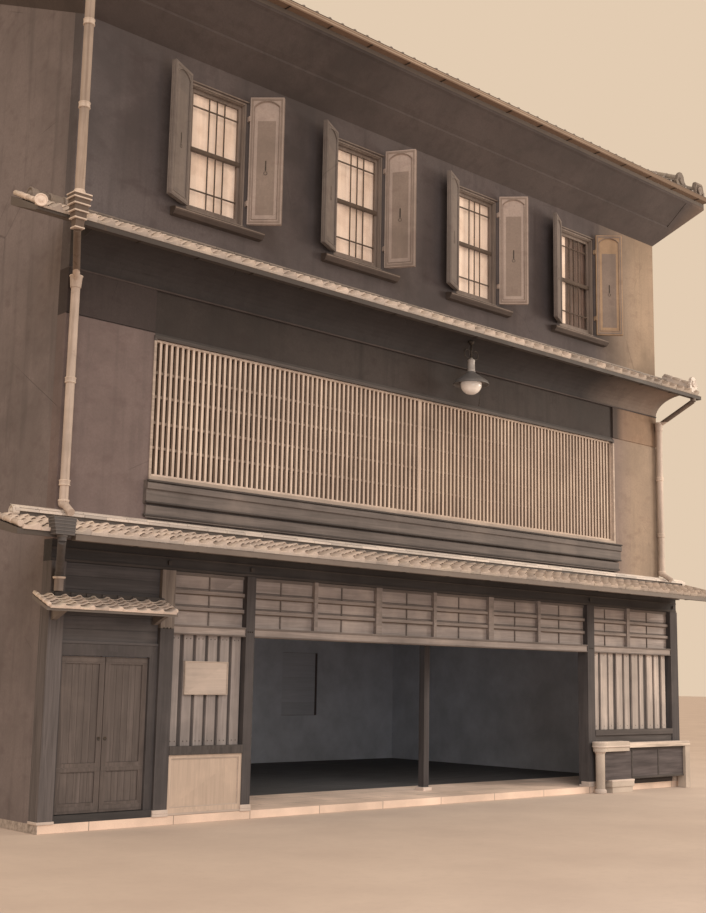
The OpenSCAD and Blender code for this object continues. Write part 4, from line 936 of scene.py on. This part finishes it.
# ---------------------------------------------------------------- walls and openings
def window_trim():
    bars, trim, front = Build(), Build(), Build()
    for i in range(4):
        x0 = WIN_X + i * WIN_STEP
        for sy, z0, z1 in ((-1, WIN_Z0, WIN_Z1), (1, WIN_Z0, WIN_Z1), (1, REAR_Z0, REAR_Z1)):
            zm = (z0 + z1) / 2
            gx0, gx1 = x0 + 92, x0 + WIN_W - 92
            w = gx1 - gx0

            def yy(a, b):
                p, q = sy * (3600 - a), sy * (3600 - b)
                return min(p, q), max(p, q)
            for a, b, hz in ((z0 + 110, zm - 22, 0.30), (zm + 22, z1 - 95, 0.76)):
                for f in (0.36, 0.53, 0.70):
                    x = gx0 + w * f
                    bars.box(x - 8, x + 8, *yy(64, 77), a - 1, b + 1)
                z = a + (b - a) * hz
                bars.box(gx0 - 1, gx1 + 1, *yy(62, 77), z - 9, z + 9)
            # meeting rail, its lower lip and a catch
            bars.box(x0 + 52, x0 + WIN_W - 52, *yy(46, 62), zm - 26, zm + 26, 0.9)
            bars.box(x0 + 52, x0 + WIN_W - 52, *yy(52, 62), zm - 40, zm - 26, 1.0)
            # stepped casing round the opening
            for a, b, d0, d1 in ((0, 30, 6, 38), (30, 44, 20, 38)):
                trim.box(x0 + a, x0 + b, *yy(d0, d1), z0 + a, z1 - a)
                trim.box(x0 + WIN_W - b, x0 + WIN_W - a, *yy(d0, d1), z0 + a, z1 - a)
                trim.box(x0 + b, x0 + WIN_W - b, *yy(d0, d1), z1 - b, z1 - a)
            trim.box(x0 + 2, x0 + WIN_W - 2, *yy(-14, 36), z0 - 4, z0 + 22)
            # thin head strip on the wall and fillets of the sill
            trim.box(x0 - 30, x0 + WIN_W + 30, *yy(-16, 0), z1 + 4, z1 + 24, 0.9)
            trim.box(x0 - 232, x0 + WIN_W + 269, *yy(-126, -112), z0 - 62, z0 - 48, 0.9)
    bars.make("sash_bars", M["bars"], "pale_wood", bevel=2)
    trim.make("window_casings", M["frame_t"], "pale_wood", bevel=3)
    # drawn blinds behind the sashes; the fourth front window has only a narrow one at its left
    b = Build()
    for i in range(4):
        x0 = WIN_X + i * WIN_STEP
        for sy, z0, z1 in ((-1, WIN_Z0, WIN_Z1), (1, WIN_Z0, WIN_Z1), (1, REAR_Z0, REAR_Z1)):
            full = not (sy < 0 and i == 3)
            xa, xb = x0 + 56, x0 + (WIN_W - 56 if full else 300)
            nx, nz = 40, 12
            ph = rng.uniform(0, 6)
            v = []
            for k in range(nz + 1):
                z = z0 + 58 + (z1 - 66 - z0 - 58) * k / nz
                for j in range(nx + 1):
                    t = j / nx
                    d = 112 + 3.5 * math.sin(t * 21 + ph) + 2.0 * math.sin(t * 47 + ph * 2 + k * 0.2)
                    v.append((xa + (xb - xa) * t, sy * (3600 - d), z))
            m = nx + 1
            faces = [(k * m + j, k * m + j + 1, (k + 1) * m + j + 1, (k + 1) * m + j) for k in range(nz) for j in range(nx)]
            b.add(v, faces, rng.random(), True, flip=sy > 0)
    b.make("window_blinds", M["blind"], "paper")
    # a dark curtain across the rest of the fourth front window
    b = Build()
    x0 = WIN_X + 3 * WIN_STEP
    for k in range(15):
        xa = x0 + 296 + k * 38.0
        d = 118 + 5 * (k % 2)
        b.box(xa, xa + 39.5, -3600 + d, -3600 + d + 4, WIN_Z0 + 60, WIN_Z1 - 66)
    b.make("window_curtain", M["blind_dim"], "paper", bevel=1.5)


def shutter_trim():
    """Stepped rims, arch moulding and pull hole, each leaf in its own turned place."""
    left_open, right_open = [27, 28, 26, 28], [45, 58, 47, 42]
    W, H = 452.0, 1780.0
    both, iron = {-1: Build(), 1: Build()}, Build()
    for i in range(4):
        for side, ang in ((-1, left_open[i]), (1, -right_open[i])):
            rims = both[side]
            x = WIN_X + i * WIN_STEP + (-30 if side < 0 else WIN_W + 30)
            rot = Matrix.Rotation(math.radians(ang), 3, "Z")

            def put(u, v, w):
                # u out from the hinge, v out of the leaf's street face, w up
                p = rot @ Vector((side * u, -v, 0))
                return (x + p.x, YF - 42 + p.y, WIN_Z0 + 37 + w)

            def block(bd, u0, u1, v0, v1, w0, w1, tone=None):
                v = [put(u, vv, w) for w in (w0, w1) for vv in (v0, v1) for u in (u0, u1)]
                faces = [(0, 2, 3, 1), (4, 5, 7, 6), (0, 1, 5, 4), (2, 6, 7, 3), (0, 4, 6, 2), (1, 3, 7, 5)]
                bd.add(v, faces, rng.random() if tone is None else tone, False, flip=side > 0)
            # raised border round the panel, in two steps
            block(rims, 16, W - 16, 29, 35, 16, 44)
            block(rims, 16, W - 16, 29, 35, H - 44, H - 16)
            block(rims, 16, 40, 29, 35, 44, H - 44)
            block(rims, W - 40, W - 16, 29, 35, 44, H - 44)
            # arch moulding over the sunk panel
            r = (W - 120) * 0.625 + 10
            cz = H - 60 - (W - 120) * 0.625
            span = math.asin(min(1, (W - 120) / 2 / r))
            arc = [put(W / 2 + r * math.sin(a), 30, cz + r * math.cos(a)) for a in [(-1 + 2 * k / 14) * span for k in range(15)]]
            rims.tube(arc, 9, 6, 0.7)
            for u in (56, W - 56):
                rims.tube([put(u, 30, 66), put(u, 30, cz + r * math.cos(span))], 7, 6, 0.7)
            rims.tube([put(56, 30, 66), put(W - 56, 30, 66)], 7, 6, 0.7)
            # inner field, slightly proud of the sunk ground
            block(rims, 104, W - 104, 12, 19, 130, H - 330, 0.35)
            # rim of the pull hole
            cpt = put(W / 2, 18, H * 0.4)
            iron.lathe(cpt, rot @ Vector((0, -1, 0)), [(-6, 21), (3, 26), (5, 24), (3, 20), (-8, 19), (-8, 0)], 18, 0.4)
            block(iron, W / 2 - 9, W / 2 + 9, 14, 21, H * 0.4 + 34, H * 0.4 + 176, 0.3)
            # stepped free edge
            for k, (va, vb, d) in enumerate(((-26, -8, 5), (-4, 12, 9))):
                block(rims, W - 2, W + d, va, vb, 12, H - 12)
    both[-1].make("shutter_rims_left_painted_shade", M["shut_rims_painted_shade"], "boards", bevel=2)
    both[1].make("shutter_rims_right", M["shut_t"], "boards", bevel=2)
    iron.make("shutter_ironwork", M["iron"], "metal")


def second_storey():
    # thin bars of the paper screens
    b = Build()
    w = (LAT_X1 - LAT_X0) / 8
    for i in range(8):
        x0, x1 = LAT_X0 + i * w + 2, LAT_X0 + (i + 1) * w - 2
        yo = YF + 125 + (i % 2) * 34
        ya, yb = yo - 9, yo + 2
        for x in (x0, x1 - 34):
            b.box(x, x + 34, yo - 16, yo + 2, LAT_Z0 + 2, LAT_Z1 - 2)
        for z in (LAT_Z0 + 60, LAT_Z1 - 60):
            b.box(x0, x1, yo - 16, yo + 2, z - 26, z + 26)
        for k in range(1, 5):
            x = x0 + 34 + (x1 - x0 - 68) * k / 5
            b.box(x - 5, x + 5, ya, yb, LAT_Z0 + 60, LAT_Z1 - 60)
        for k in range(1, 8):
            z = LAT_Z0 + 60 + (LAT_Z1 - LAT_Z0 - 120) * k / 8
            b.box(x0 + 30, x1 - 30, ya, yb, z - 5, z + 5)
    b.make("paper_screen_bars", M["shoji"], "timber")
    # pale edge strips of the lattice and end posts
    b = Build()
    b.box(LAT_X0 - 8, LAT_X1 + 8, YF - 22, YF + 40, LAT_Z0 - 18, LAT_Z0 + 26, 0.9)
    b.box(LAT_X0 - 8, LAT_X1 + 8, YF - 12, YF + 40, LAT_Z1 - 34, LAT_Z1 + 8, 0.5)
    for x in (LAT_X0 - 10, LAT_X1 - 26):
        b.box(x, x + 36, YF - 14, YF + 42, LAT_Z0, LAT_Z1, 0.5)
    b.make("lattice_border", M["lattice_t"], "pale_wood", bevel=3)
    b = Build()
    for z, o in ((4033, 104), (3776, 78), (3620, 44)):
        b.prism(0, LAT_X0 - 74, LAT_X1 + 74, [(YF - o, z), (YF - o - 8, z + 8), (YF - o - 4, z + 24), (YF - o + 30, z + 28), (YF - o + 30, z)], 0.8)
    b.box(LAT_X0 + 3, LAT_X1 - 3, YF + 22, YF + 38, LAT_Z1 + 10, LAT_Z1 + 46, 0.6)
    b.make("sill_fillets", M["timber_xt"], "timber", bevel=3)


def shop_front():
    girder = Build()
    # shallow moulding under the girder and pegs at the posts
    girder.box(LEFT_X + 4, SHOP_X - 4, YF + 8, YF + 22, 3006, 3034, 0.5)
    girder.box(LEFT_X + 4, SHOP_X - 4, YF + 8, YF + 22, 3140, 3160, 0.7)
    posts = [(LEFT_X, 190), (-4324, 196), (-3028, 140), (4019, 183), (6394, 216)]
    for x, w in posts[1:]:
        girder.box(x + w / 2 - 26, x + w / 2 + 26, YF - 14, YF + 6, 3060, 3112, 0.9)
    girder.make("girder_mouldings", M["timber_xt"], "timber", bevel=3)
    # transoms: thin uprights, board joints and lintel beads
    b = Build()
    for x in (-2405, -1330, -76, 1017, 2295, 3382, 4600, 5800, -3560):
        b.box(x - 9, x + 9, YF + 76, YF + 92, 2357, 2998)
    for xa, xb in ((-4128, -3028), (-2888, 4019), (4202, 6394)):
        b.box(xa, xb, YF + 2, YF + 14, 2236, 2252, 0.4)
        b.box(xa, xb, YF + 0, YF + 14, 2330, 2352, 0.6)
        for z in (2592, 2796):
            b.box(xa, xb, YF + 82, YF + 91, z, z + 14, 0.1)
        b.box(xa, xb, YF + 70, YF + 91, 2958, 2998, 0.5)
    b.make("transom_mouldings", M["transom_t"], "timber", bevel=2)
    b = Build()
    # painted shadow: thin dark strips under and over each transom rail
    for xa, xb in ((-4128, -3028), (-2888, 4019), (4202, 6394)):
        for z in (2535, 2738):
            b.box(xa, xb, YF + 56, YF + 91, z - 13, z - 0.5, 0.2)
            b.box(xa, xb, YF + 72, YF + 91, z + 42.5, z + 49, 0.2)
    b.make("transom_rail_shadow_strips", M["bars"], "timber")
    # post feet: stones and iron straps
    b = Build()
    for x, w in posts:
        b.box(x - 14, x + w + 14 if x < 6300 else x + w, YF - 14, YF + 190, 96, 128, 0.5)
        if x > LEFT_X:
            b.box(x - 12, x + w + 12 if x < 6300 else x + w, YF - 12, YF + 150, 128, 176, 0.7)
    b.box(1185 - 90, 1185 + 90, YF + 948 - 90, YF + 948 + 90, 98, 150, 0.6)
    b.make("post_foot_stones", M["stone_t"], "stone", bevel=6)
    b = Build()
    for x, w in posts[1:4]:
        for k in range(3):
            xx = x + w * (0.25 + 0.25 * k)
            b.lathe((xx, YF, 2300), (0, -1, 0), [(0, 10), (5, 9), (9, 5), (10, 0)], 10, 0.5)
    b.box(1185 - 62, 1185 + 62, YF + 948 - 62, YF + 948 + 62, 2960, 3040, 0.5)
    b.make("post_ironwork", M["iron"], "metal", bevel=2)
    # boards that close the rear screens behind their slats
    b = Build()
    for i in range(4):
        x = WIN_X + i * WIN_STEP
        for k in range(5):
            z0, z1 = REAR1_Z0 + 4 + k * 246, REAR1_Z0 + 4 + (k + 1) * 246 - 3
            b.box(x + 4, x + WIN_W - 4, 3600 - 132, 3600 - 112, z0, min(z1, REAR1_Z1 - 2))
    b.make("rear_screen_boards", M["rear_boards"], "boards", bevel=2)
    # dado and slats at the left of the shop
    b = Build()
    x0, x1 = -4128, -3028
    for z in (190, 748):
        b.box(x0 + 45, x1 - 45, YF + 16, YF + 24, z, z + 10, 0.2)
    for x in (x0 + 45, x1 - 55):
        b.box(x, x + 10, YF + 16, YF + 24, 200, 748, 0.2)
    b.box(x0 + 5, x1 - 5, YF + 2, YF + 12, 104, 128, 0.3)
    b.make("dado_mouldings", M["dado_t"], "boards", bevel=2)
    b = Build()
    for i in range(5):
        x = -4116 + i * 184 + (134 if i else 122)
        b.box(x - 3, -4116 + (i + 1) * 184 + 3, YF + 88, YF + 100, 906, 2234)
    w = [150, 170, 115, 160, 135, 165, 105, 155, 130, 105]
    for i in range(9):
        b.box(4222 + i * 218 + w[i] - 3, 4222 + (i + 1) * 218 + 3, YF + 88, YF + 100, 992, 2234)
    b.make("slat_backing", M["timber_zt"], "timber")
    b = Build()
    for i in range(6):
        for z in (960, 2190):
            for dx in (36, 98):
                b.lathe((-4116 + i * 184 + dx, YF + 60, z), (0, -1, 0), [(-6, 0), (-6, 7), (0, 7), (3, 6), (5, 0)], 8, 0.5)
    for i in range(10):
        for z in (1045, 2190):
            b.lathe((4222 + i * 218 + w[i] / 2, YF + 60, z), (0, -1, 0), [(-6, 0), (-6, 7), (0, 7), (3, 6), (5, 0)], 8, 0.5)
    b.make("slat_nails", M["iron"], "metal")
    # plain sign blank with a narrow border
    b = Build()
    for z in (1514, 1904):
        b.box(-3925, -3270, YF + 24, YF + 34, z, z + 14, 0.3)
    for x in (-3925, -3284):
        b.box(x, x + 14, YF + 24, YF + 34, 1528, 1904, 0.3)
    b.make("sign_border", M["sign_t"], "pale_wood", bevel=2)
    # dark dado at the right
    b = Build()
    for k in range(3):
        b.box(4206, 6390, YF + 12, YF + 24, 150 + k * 250, 162 + k * 250, 0.8)
    b.make("right_dado_battens", M["timber_xt"], "timber", bevel=2)
    # round low post: base, neck ring and lips of the cap; rails of the dark board
    b = Build()
    c = (4130.0, YF - 140, 0.0)
    b.lathe(c, (0, 0, 1), [(0, 0), (0, 96), (46, 96), (58, 90), (70, 80), (74, 70), (74, 0)], 32, 0.6)
    b.lathe(c, (0, 0, 1), [(628, 70), (630, 84), (640, 88), (652, 84), (656, 70)], 32, 0.7)
    b.lathe(c, (0, 0, 1), [(722, 110), (724, 129), (736, 131), (744, 127), (746, 110)], 32, 0.8)
    b.lathe(c, (0, 0, 1), [(786, 110), (788, 128), (802, 126), (808, 112), (810, 60), (810, 0)], 32, 0.9)
    b.box(4130, 4818, YF - 239, YF - 41, 722, 744, 0.8)
    b.box(4130, 4806, YF - 226, YF - 54, 798, 809, 0.8)
    b.box(4820, 6576, YF - 224, YF - 56, 772, 784, 0.8)
    b.box(4322, 4938, YF - 229, YF - 51, 176, 204, 0.9)
    b.make("low_post_mouldings", M["stone_t"], "stone", bevel=5)
    b = Build()
    b.box(4206, 6438, YF - 180, YF - 168, 664, 704, 0.5)
    b.box(4934, 6438, YF - 180, YF - 168, 202, 236, 0.5)
    for x in (4930, 5680):
        b.box(x, x + 34, YF - 178, YF - 168, 236, 664, 0.3)
    b.make("low_board_rails", M["timber_xt"], "timber", bevel=2)


def door_trim():
    for name, body, x0 in (("left", "left_door", -5600.0), ("right", "right_door", -5016.0)):
        b = Build()
        # upright boards and thin joint covers in the sunk panels
        for z0, z1 in ((742, 1858), (302, 638)):
            n = 5
            for k in range(n):
                xa = x0 + 72 + (432.0) * k / n
                b.box(xa + 1.5, xa + 432.0 / n - 1.5, YF + 80, YF + 86, z0, z1)
        for z in (690, 1860):
            b.box(x0 + 8, x0 + 568, YF + 66, YF + 71, z - 4, z + 4, 0.3)
        for z in (668, 240, 1900):
            b.box(x0 + 6, x0 + 570, YF + 66.5, YF + 71, z - 22, z + 22, 0.8)
        b.make("door_boards_" + name, M["door_t"], "timber", body, bevel=1.5)
        b = Build()
        xh = x0 + (576 - 38 if name == "left" else 38)
        b.lathe((xh, YF + 70, 1010), (0, -1, 0), [(-6, 0), (-6, 20), (0, 22), (4, 22), (6, 19), (3, 15), (2, 0)], 20, 0.5)
        b.make("door_ironwork_" + name, M["iron"], "metal", body, bevel=1.5)
    b = Build()
    # boards over the door and a shallow lamp-board ledge
    for k in range(6):
        b.box(-5636, -4328, YF + 52, YF + 62, 2100 + k * 150, 2246 + k * 150)
    b.box(-5640, -4324, YF + 30, YF + 62, 2082, 2112, 0.9)
    b.box(-5036, -4992, YF + 54, YF + 68, 1948, 2076, 0.6)
    b.make("boards_over_door", M["overdoor"], "timber", bevel=2)


# ---------------------------------------------------------------- metalwork
def pipes():
    b = Build()
    # rolled rims along the gutters
    for sy in (-1, 1):
        y = sy * (3600 + EAVE_OUT + 108)
        b.tube([(LEFT_X - VERGE + 20, y, 10488), (RIGHT_X + VERGE - 20, y, 10488)], 7, 8, 0.6)
    b.tube([(-6200, YF - MID_OUT - 78, 6785), (6440, YF - MID_OUT - 78, 6785)], 5, 8, 0.6)
    b.make("gutter_rims", M["gutter_rim"], "metal")
    b = Build()
    b.tube([(-6100, YF - LOW_OUT - 82, 3200), (6663, YF - LOW_OUT - 82, 3200)], 5, 8, 0.6)
    b.make("lower_gutter_rim", M["gutter_low_rim"], "metal")
    b = Build()
    for sy in (-1, 1):
        for k in range(18):
            x = LEFT_X - VERGE + 120 + k * (12820 - 240) / 17
            y0, y1 = sy * (3600 + EAVE_OUT - 4), sy * (3600 + EAVE_OUT + 112)
            b.box(x - 9, x + 9, min(y0, y1), max(y0, y1), 10401, 10409, 0.4)
    for k in range(16):
        x = -6150 + k * 12540 / 15
        b.box(x - 9, x + 9, YF - MID_OUT - 83, YF - MID_OUT + 20, 6718, 6726, 0.4)
        if x > -6080:
            b.box(x - 9, x + 9, YF - LOW_OUT - 85, YF - LOW_OUT + 10, 3135, 3143, 0.4)
    b.make("gutter_brackets", M["iron"], "metal")
    b = Build()
    # collars and seams of the round pipes
    px, py = -6212, YF - EAVE_OUT - 58
    for z in (9060, 8050):
        b.lathe((px, py, z - 14), (0, 0, 1), [(0, 54), (4, 68), (14, 68), (18, 64), (58, 64), (62, 68), (70, 68), (74, 54)], 20, 0.8)
    b.lathe((px, py, 7008), (0, 0, 1), [(0, 76), (12, 78), (36, 66), (60, 60), (60, 54)], 20, 0.8)
    for (x, zs) in ((-5769, (5060, 3860)), (6065, (5300, 4300))):
        for z in zs:
            b.lathe((x, YF - 75, z - 12), (0, 0, 1), [(0, 51), (4, 66), (12, 66), (16, 62), (54, 62), (58, 66), (66, 66), (70, 51)], 20, 0.8)
        b.lathe((x, YF - 75, 6322), (0, 0, 1), [(0, 74), (4, 80), (14, 80), (18, 74), (18, 60)], 20, 0.9)
        b.lathe((x, YF - 75, 3664), (0, 0, 1), [(0, 58), (4, 64), (24, 64), (28, 51)], 20, 0.6)
    # pale lip of the short wall pipe under the hopper
    b.lathe((-5769, YF - 75, 2790), (0, 0, 1), [(0, 53), (3, 68), (22, 74), (27, 68), (27, 53)], 20, 0.9)
    # ribs of the stepped hopper
    for x, ya, yb, z in ((106, 90, 76, 6997), (106, 90, 76, 6948), (96, 82, 68, 6878), (84, 72, 60, 6798), (72, 62, 54, 6718), (54, 50, 46, 6612)):
        b.box(px - x - 7, px + x + 7, py - ya - 7, py + yb + 7, z, z + 16, 0.95)
    b.make("pipe_collars", M["pipe_t"], "metal", bevel=2)
    b = Build()
    # ribs and rolled rim of the hopper over the shop
    y0 = YF - LOW_OUT
    for k, z in enumerate((3186, 3222, 3258, 3294, 3330)):
        t = (z - 3182) / 184.0
        xa, xb = -6362 - 33 * t, -6142 + 17 * t
        b.box(xa - 5, xb + 5, y0 - 135, y0 - 130, z, z + 10, 0.8)
        b.box(xa - 6, xa, y0 - 130, y0 - 2, z, z + 10, 0.8)
        b.box(xb, xb + 6, y0 - 130, y0 - 2, z, z + 10, 0.8)
    b.tube([(-6395, y0 - 4, 3366), (-6395, y0 - 128, 3366), (-6125, y0 - 128, 3366), (-6125, y0 - 4, 3366)], 6, 8, 0.9)
    b.lathe((-6252, y0 - 65, 3182), (0, 0, -1), [(0, 58), (6, 60), (20, 54), (20, 48)], 20, 0.8)
    b.make("eave_hopper_ribs", M["hopper_t"], "metal", bevel=1.5)


def lamp():
    lx, ly = 750.0, YF - 390
    b = Build()
    b.lathe((lx, ly, 0), (0, 0, 1), [(6108, 0), (6108, 150), (6122, 168), (6128, 215), (6096, 252), (6085, 258), (6084, 266), (6090, 268),
                                     (6104, 266), (6140, 246), (6168, 205), (6205, 152), (6232, 112), (6256, 78), (6272, 64), (6290, 60), (6290, 0)], 48, 0.5)
    ob = b.make("lamp_shade", M["enamel"], "metal")
    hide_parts("street_lamp")
    b = Build()
    b.lathe((lx, ly, 0), (0, 0, 1), [(6280, 58), (6284, 62), (6296, 62), (6300, 55), (6322, 54), (6324, 57), (6330, 57), (6332, 54),
                                     (6440, 53), (6446, 57), (6462, 57), (6470, 44), (6486, 24), (6500, 18), (6500, 0)], 32, 0.5)
    b.make("lamp_neck", M["neck"], "metal")
    b = Build()
    prof = [(6120, 120)]
    for k in range(17):
        a = math.radians(20 - 110 * k / 16)
        prof.append((6092 + 156 * math.sin(a), 158 * math.cos(a)))
    b.lathe((lx, ly, 0), (0, 0, 1), prof, 48, 0.5)
    b.make("lamp_globe", M["opal"], "globe")
    b = Build()
    b.tube([(lx, ly, 6490), (lx, ly, 6746)], 13, 12, 0.5)
    b.lathe((lx, ly, 6700), (0, 0, 1), [(0, 15), (6, 30), (26, 44), (44, 46), (56, 46)], 24, 0.5)
    for s in (-1, 1):
        pts = []
        for k in range(18):
            t = k / 17
            a = math.radians(-90 + 330 * t)
            r = 74 - 34 * t
            pts.append((lx + s * (86 + r * math.cos(a) * 1.0), ly, 6560 + r * math.sin(a)))
        b.tube([(lx, ly, 6470)] + [(lx + s * 40, ly, 6480)] + pts, [8, 8] + [7.5 - 3 * k / 17 for k in range(18)], 8, 0.5)
    # set screws that hold the globe
    for k in range(3):
        a = math.radians(20 + 120 * k)
        c = Vector((lx + 150 * math.cos(a), ly + 150 * math.sin(a), 6112))
        b.tube([c, c + Vector((math.cos(a), math.sin(a), 0)) * 34], 6, 8, 0.5)
    # pull chain
    b.tube([(lx + 190, ly, 6100), (lx + 196, ly - 4, 5960), (lx + 170, ly - 6, 5820)], 4, 6, 0.5)
    b.lathe((lx + 170, ly - 6, 5822), (0, 0, -1), [(0, 4), (6, 9), (22, 11), (30, 5), (31, 0)], 12, 0.5)
    b.make("lamp_bracket", M["iron"], "metal")


def cornice_lines():
    b = Build()
    for sy in (-1, 1):
        b.prism(0, LEFT_X + 2, RIGHT_X - 2, [(sy * 3601.0, 6438), (sy * 3612.0, 6440), (sy * 3616.0, 6458), (sy * 3601.0, 6466)], 0.6)
    b.make("cornice_fillets", M["cornice"], "plaster", bevel=3)


main_roof()
pent_tiles()
window_trim()
shutter_trim()
second_storey()
shop_front()
door_trim()
pipes()
lamp()
cornice_lines()

# ---------------------------------------------------------------- studio
scene = bpy.context.scene
scene.view_settings.view_transform = "Standard"
scene.view_settings.look = "None"
world = bpy.data.worlds.new("studio")
scene.world = world
world.use_nodes = True
bg = world.node_tree.nodes["Background"]
bg.inputs["Color"].default_value = (0.768, 0.604, 0.445, 1)
bg.inputs["Strength"].default_value = 1.0

me = bpy.data.meshes.new("studio_floor")
me.from_pydata([(-160, -160, 0), (160, -160, 0), (160, 160, 0), (-160, 160, 0)], [], [(0, 1, 2, 3)])
g = Graph("studio_floor_paint")
n1 = g.noise(0.7, 5, 0.6)
n2 = g.noise(9, 4, 0.6)
fc = g.mix(g.ramp(n1, 0.35, 0.68), (0.585, 0.480, 0.415), (0.655, 0.545, 0.470))
fc = g.mix(g.ramp(n2, 0.5, 0.75, 0, 0.3), fc, (0.53, 0.435, 0.375))
me.materials.append(g.finish(fc, 0.9, g.bump(n2, 0.2, 0.01)))
floor = bpy.data.objects.new("studio_floor", me)
scene.collection.objects.link(floor)
floor.location.z = -0.002


def lamp_light(name, kind, location, target, energy, size, color=(1, 0.9, 0.78)):
    d = bpy.data.lights.new(name, kind)
    d.energy = energy
    d.color = color
    if kind == "AREA":
        d.shape = "DISK"
        d.size = size
    else:
        d.angle = math.radians(size)
    o = bpy.data.objects.new(name, d)
    o.location = location
    o.rotation_euler = (Vector(target) - Vector(location)).to_track_quat("-Z", "Y").to_euler()
    scene.collection.objects.link(o)
    return o


lamp_light("key", "SUN", (-9, -16, 15), (0, -3.6, 4), 1.0, 40, (1, 0.96, 0.93))
lamp_light("right_fill", "AREA", (13, -12, 7), (5.5, -3.6, 7.5), 1080, 6, (1, 0.92, 0.80))
lamp_light("low_fill", "AREA", (-5, -17, 2.75), (0.5, -3.6, 1.4), 260, 5, (0.86, 0.93, 1.0))
inner = bpy.data.lights.new("shop_fill", "POINT")
inner.energy = 30
inner.color = (0.86, 0.92, 0.96)
inner.shadow_soft_size = 0.3
inner_ob = bpy.data.objects.new("shop_fill", inner)
inner_ob.location = (0.9, -1.4, 2.6)
scene.collection.objects.link(inner_ob)

# camera: yaw, pitch and roll worked out from the picture's vanishing lines
yaw, pit, rol = math.radians(42.812), math.radians(9.672), math.radians(1.031)
fwd = Vector((math.sin(yaw) * math.cos(pit), math.cos(yaw) * math.cos(pit), math.sin(pit)))
right0 = Vector((math.cos(yaw), -math.sin(yaw), 0))
up0 = right0.cross(fwd)
right = right0 * math.cos(rol) + up0 * math.sin(rol)
up = -right0 * math.sin(rol) + up0 * math.cos(rol)
cam_data = bpy.data.cameras.new("camera")
cam = bpy.data.objects.new("camera", cam_data)
scene.collection.objects.link(cam)
rot = Matrix((right, up, -fwd)).transposed().to_4x4()
cam.matrix_world = Matrix.Translation((-13.189, -16.650, 1.740)) @ rot
cam_data.sensor_fit = "HORIZONTAL"
cam_data.sensor_width = 36.0
W_PX, H_PX, F_PX, CX, CY = 706.0, 913.0, 1290.3, 360.98, 458.9
cam_data.lens = F_PX * 36.0 / W_PX
cam_data.shift_x = (W_PX / 2 - CX) / W_PX
cam_data.shift_y = (CY - H_PX / 2) / W_PX
cam_data.clip_start = 0.1
cam_data.clip_end = 500
scene.camera = cam
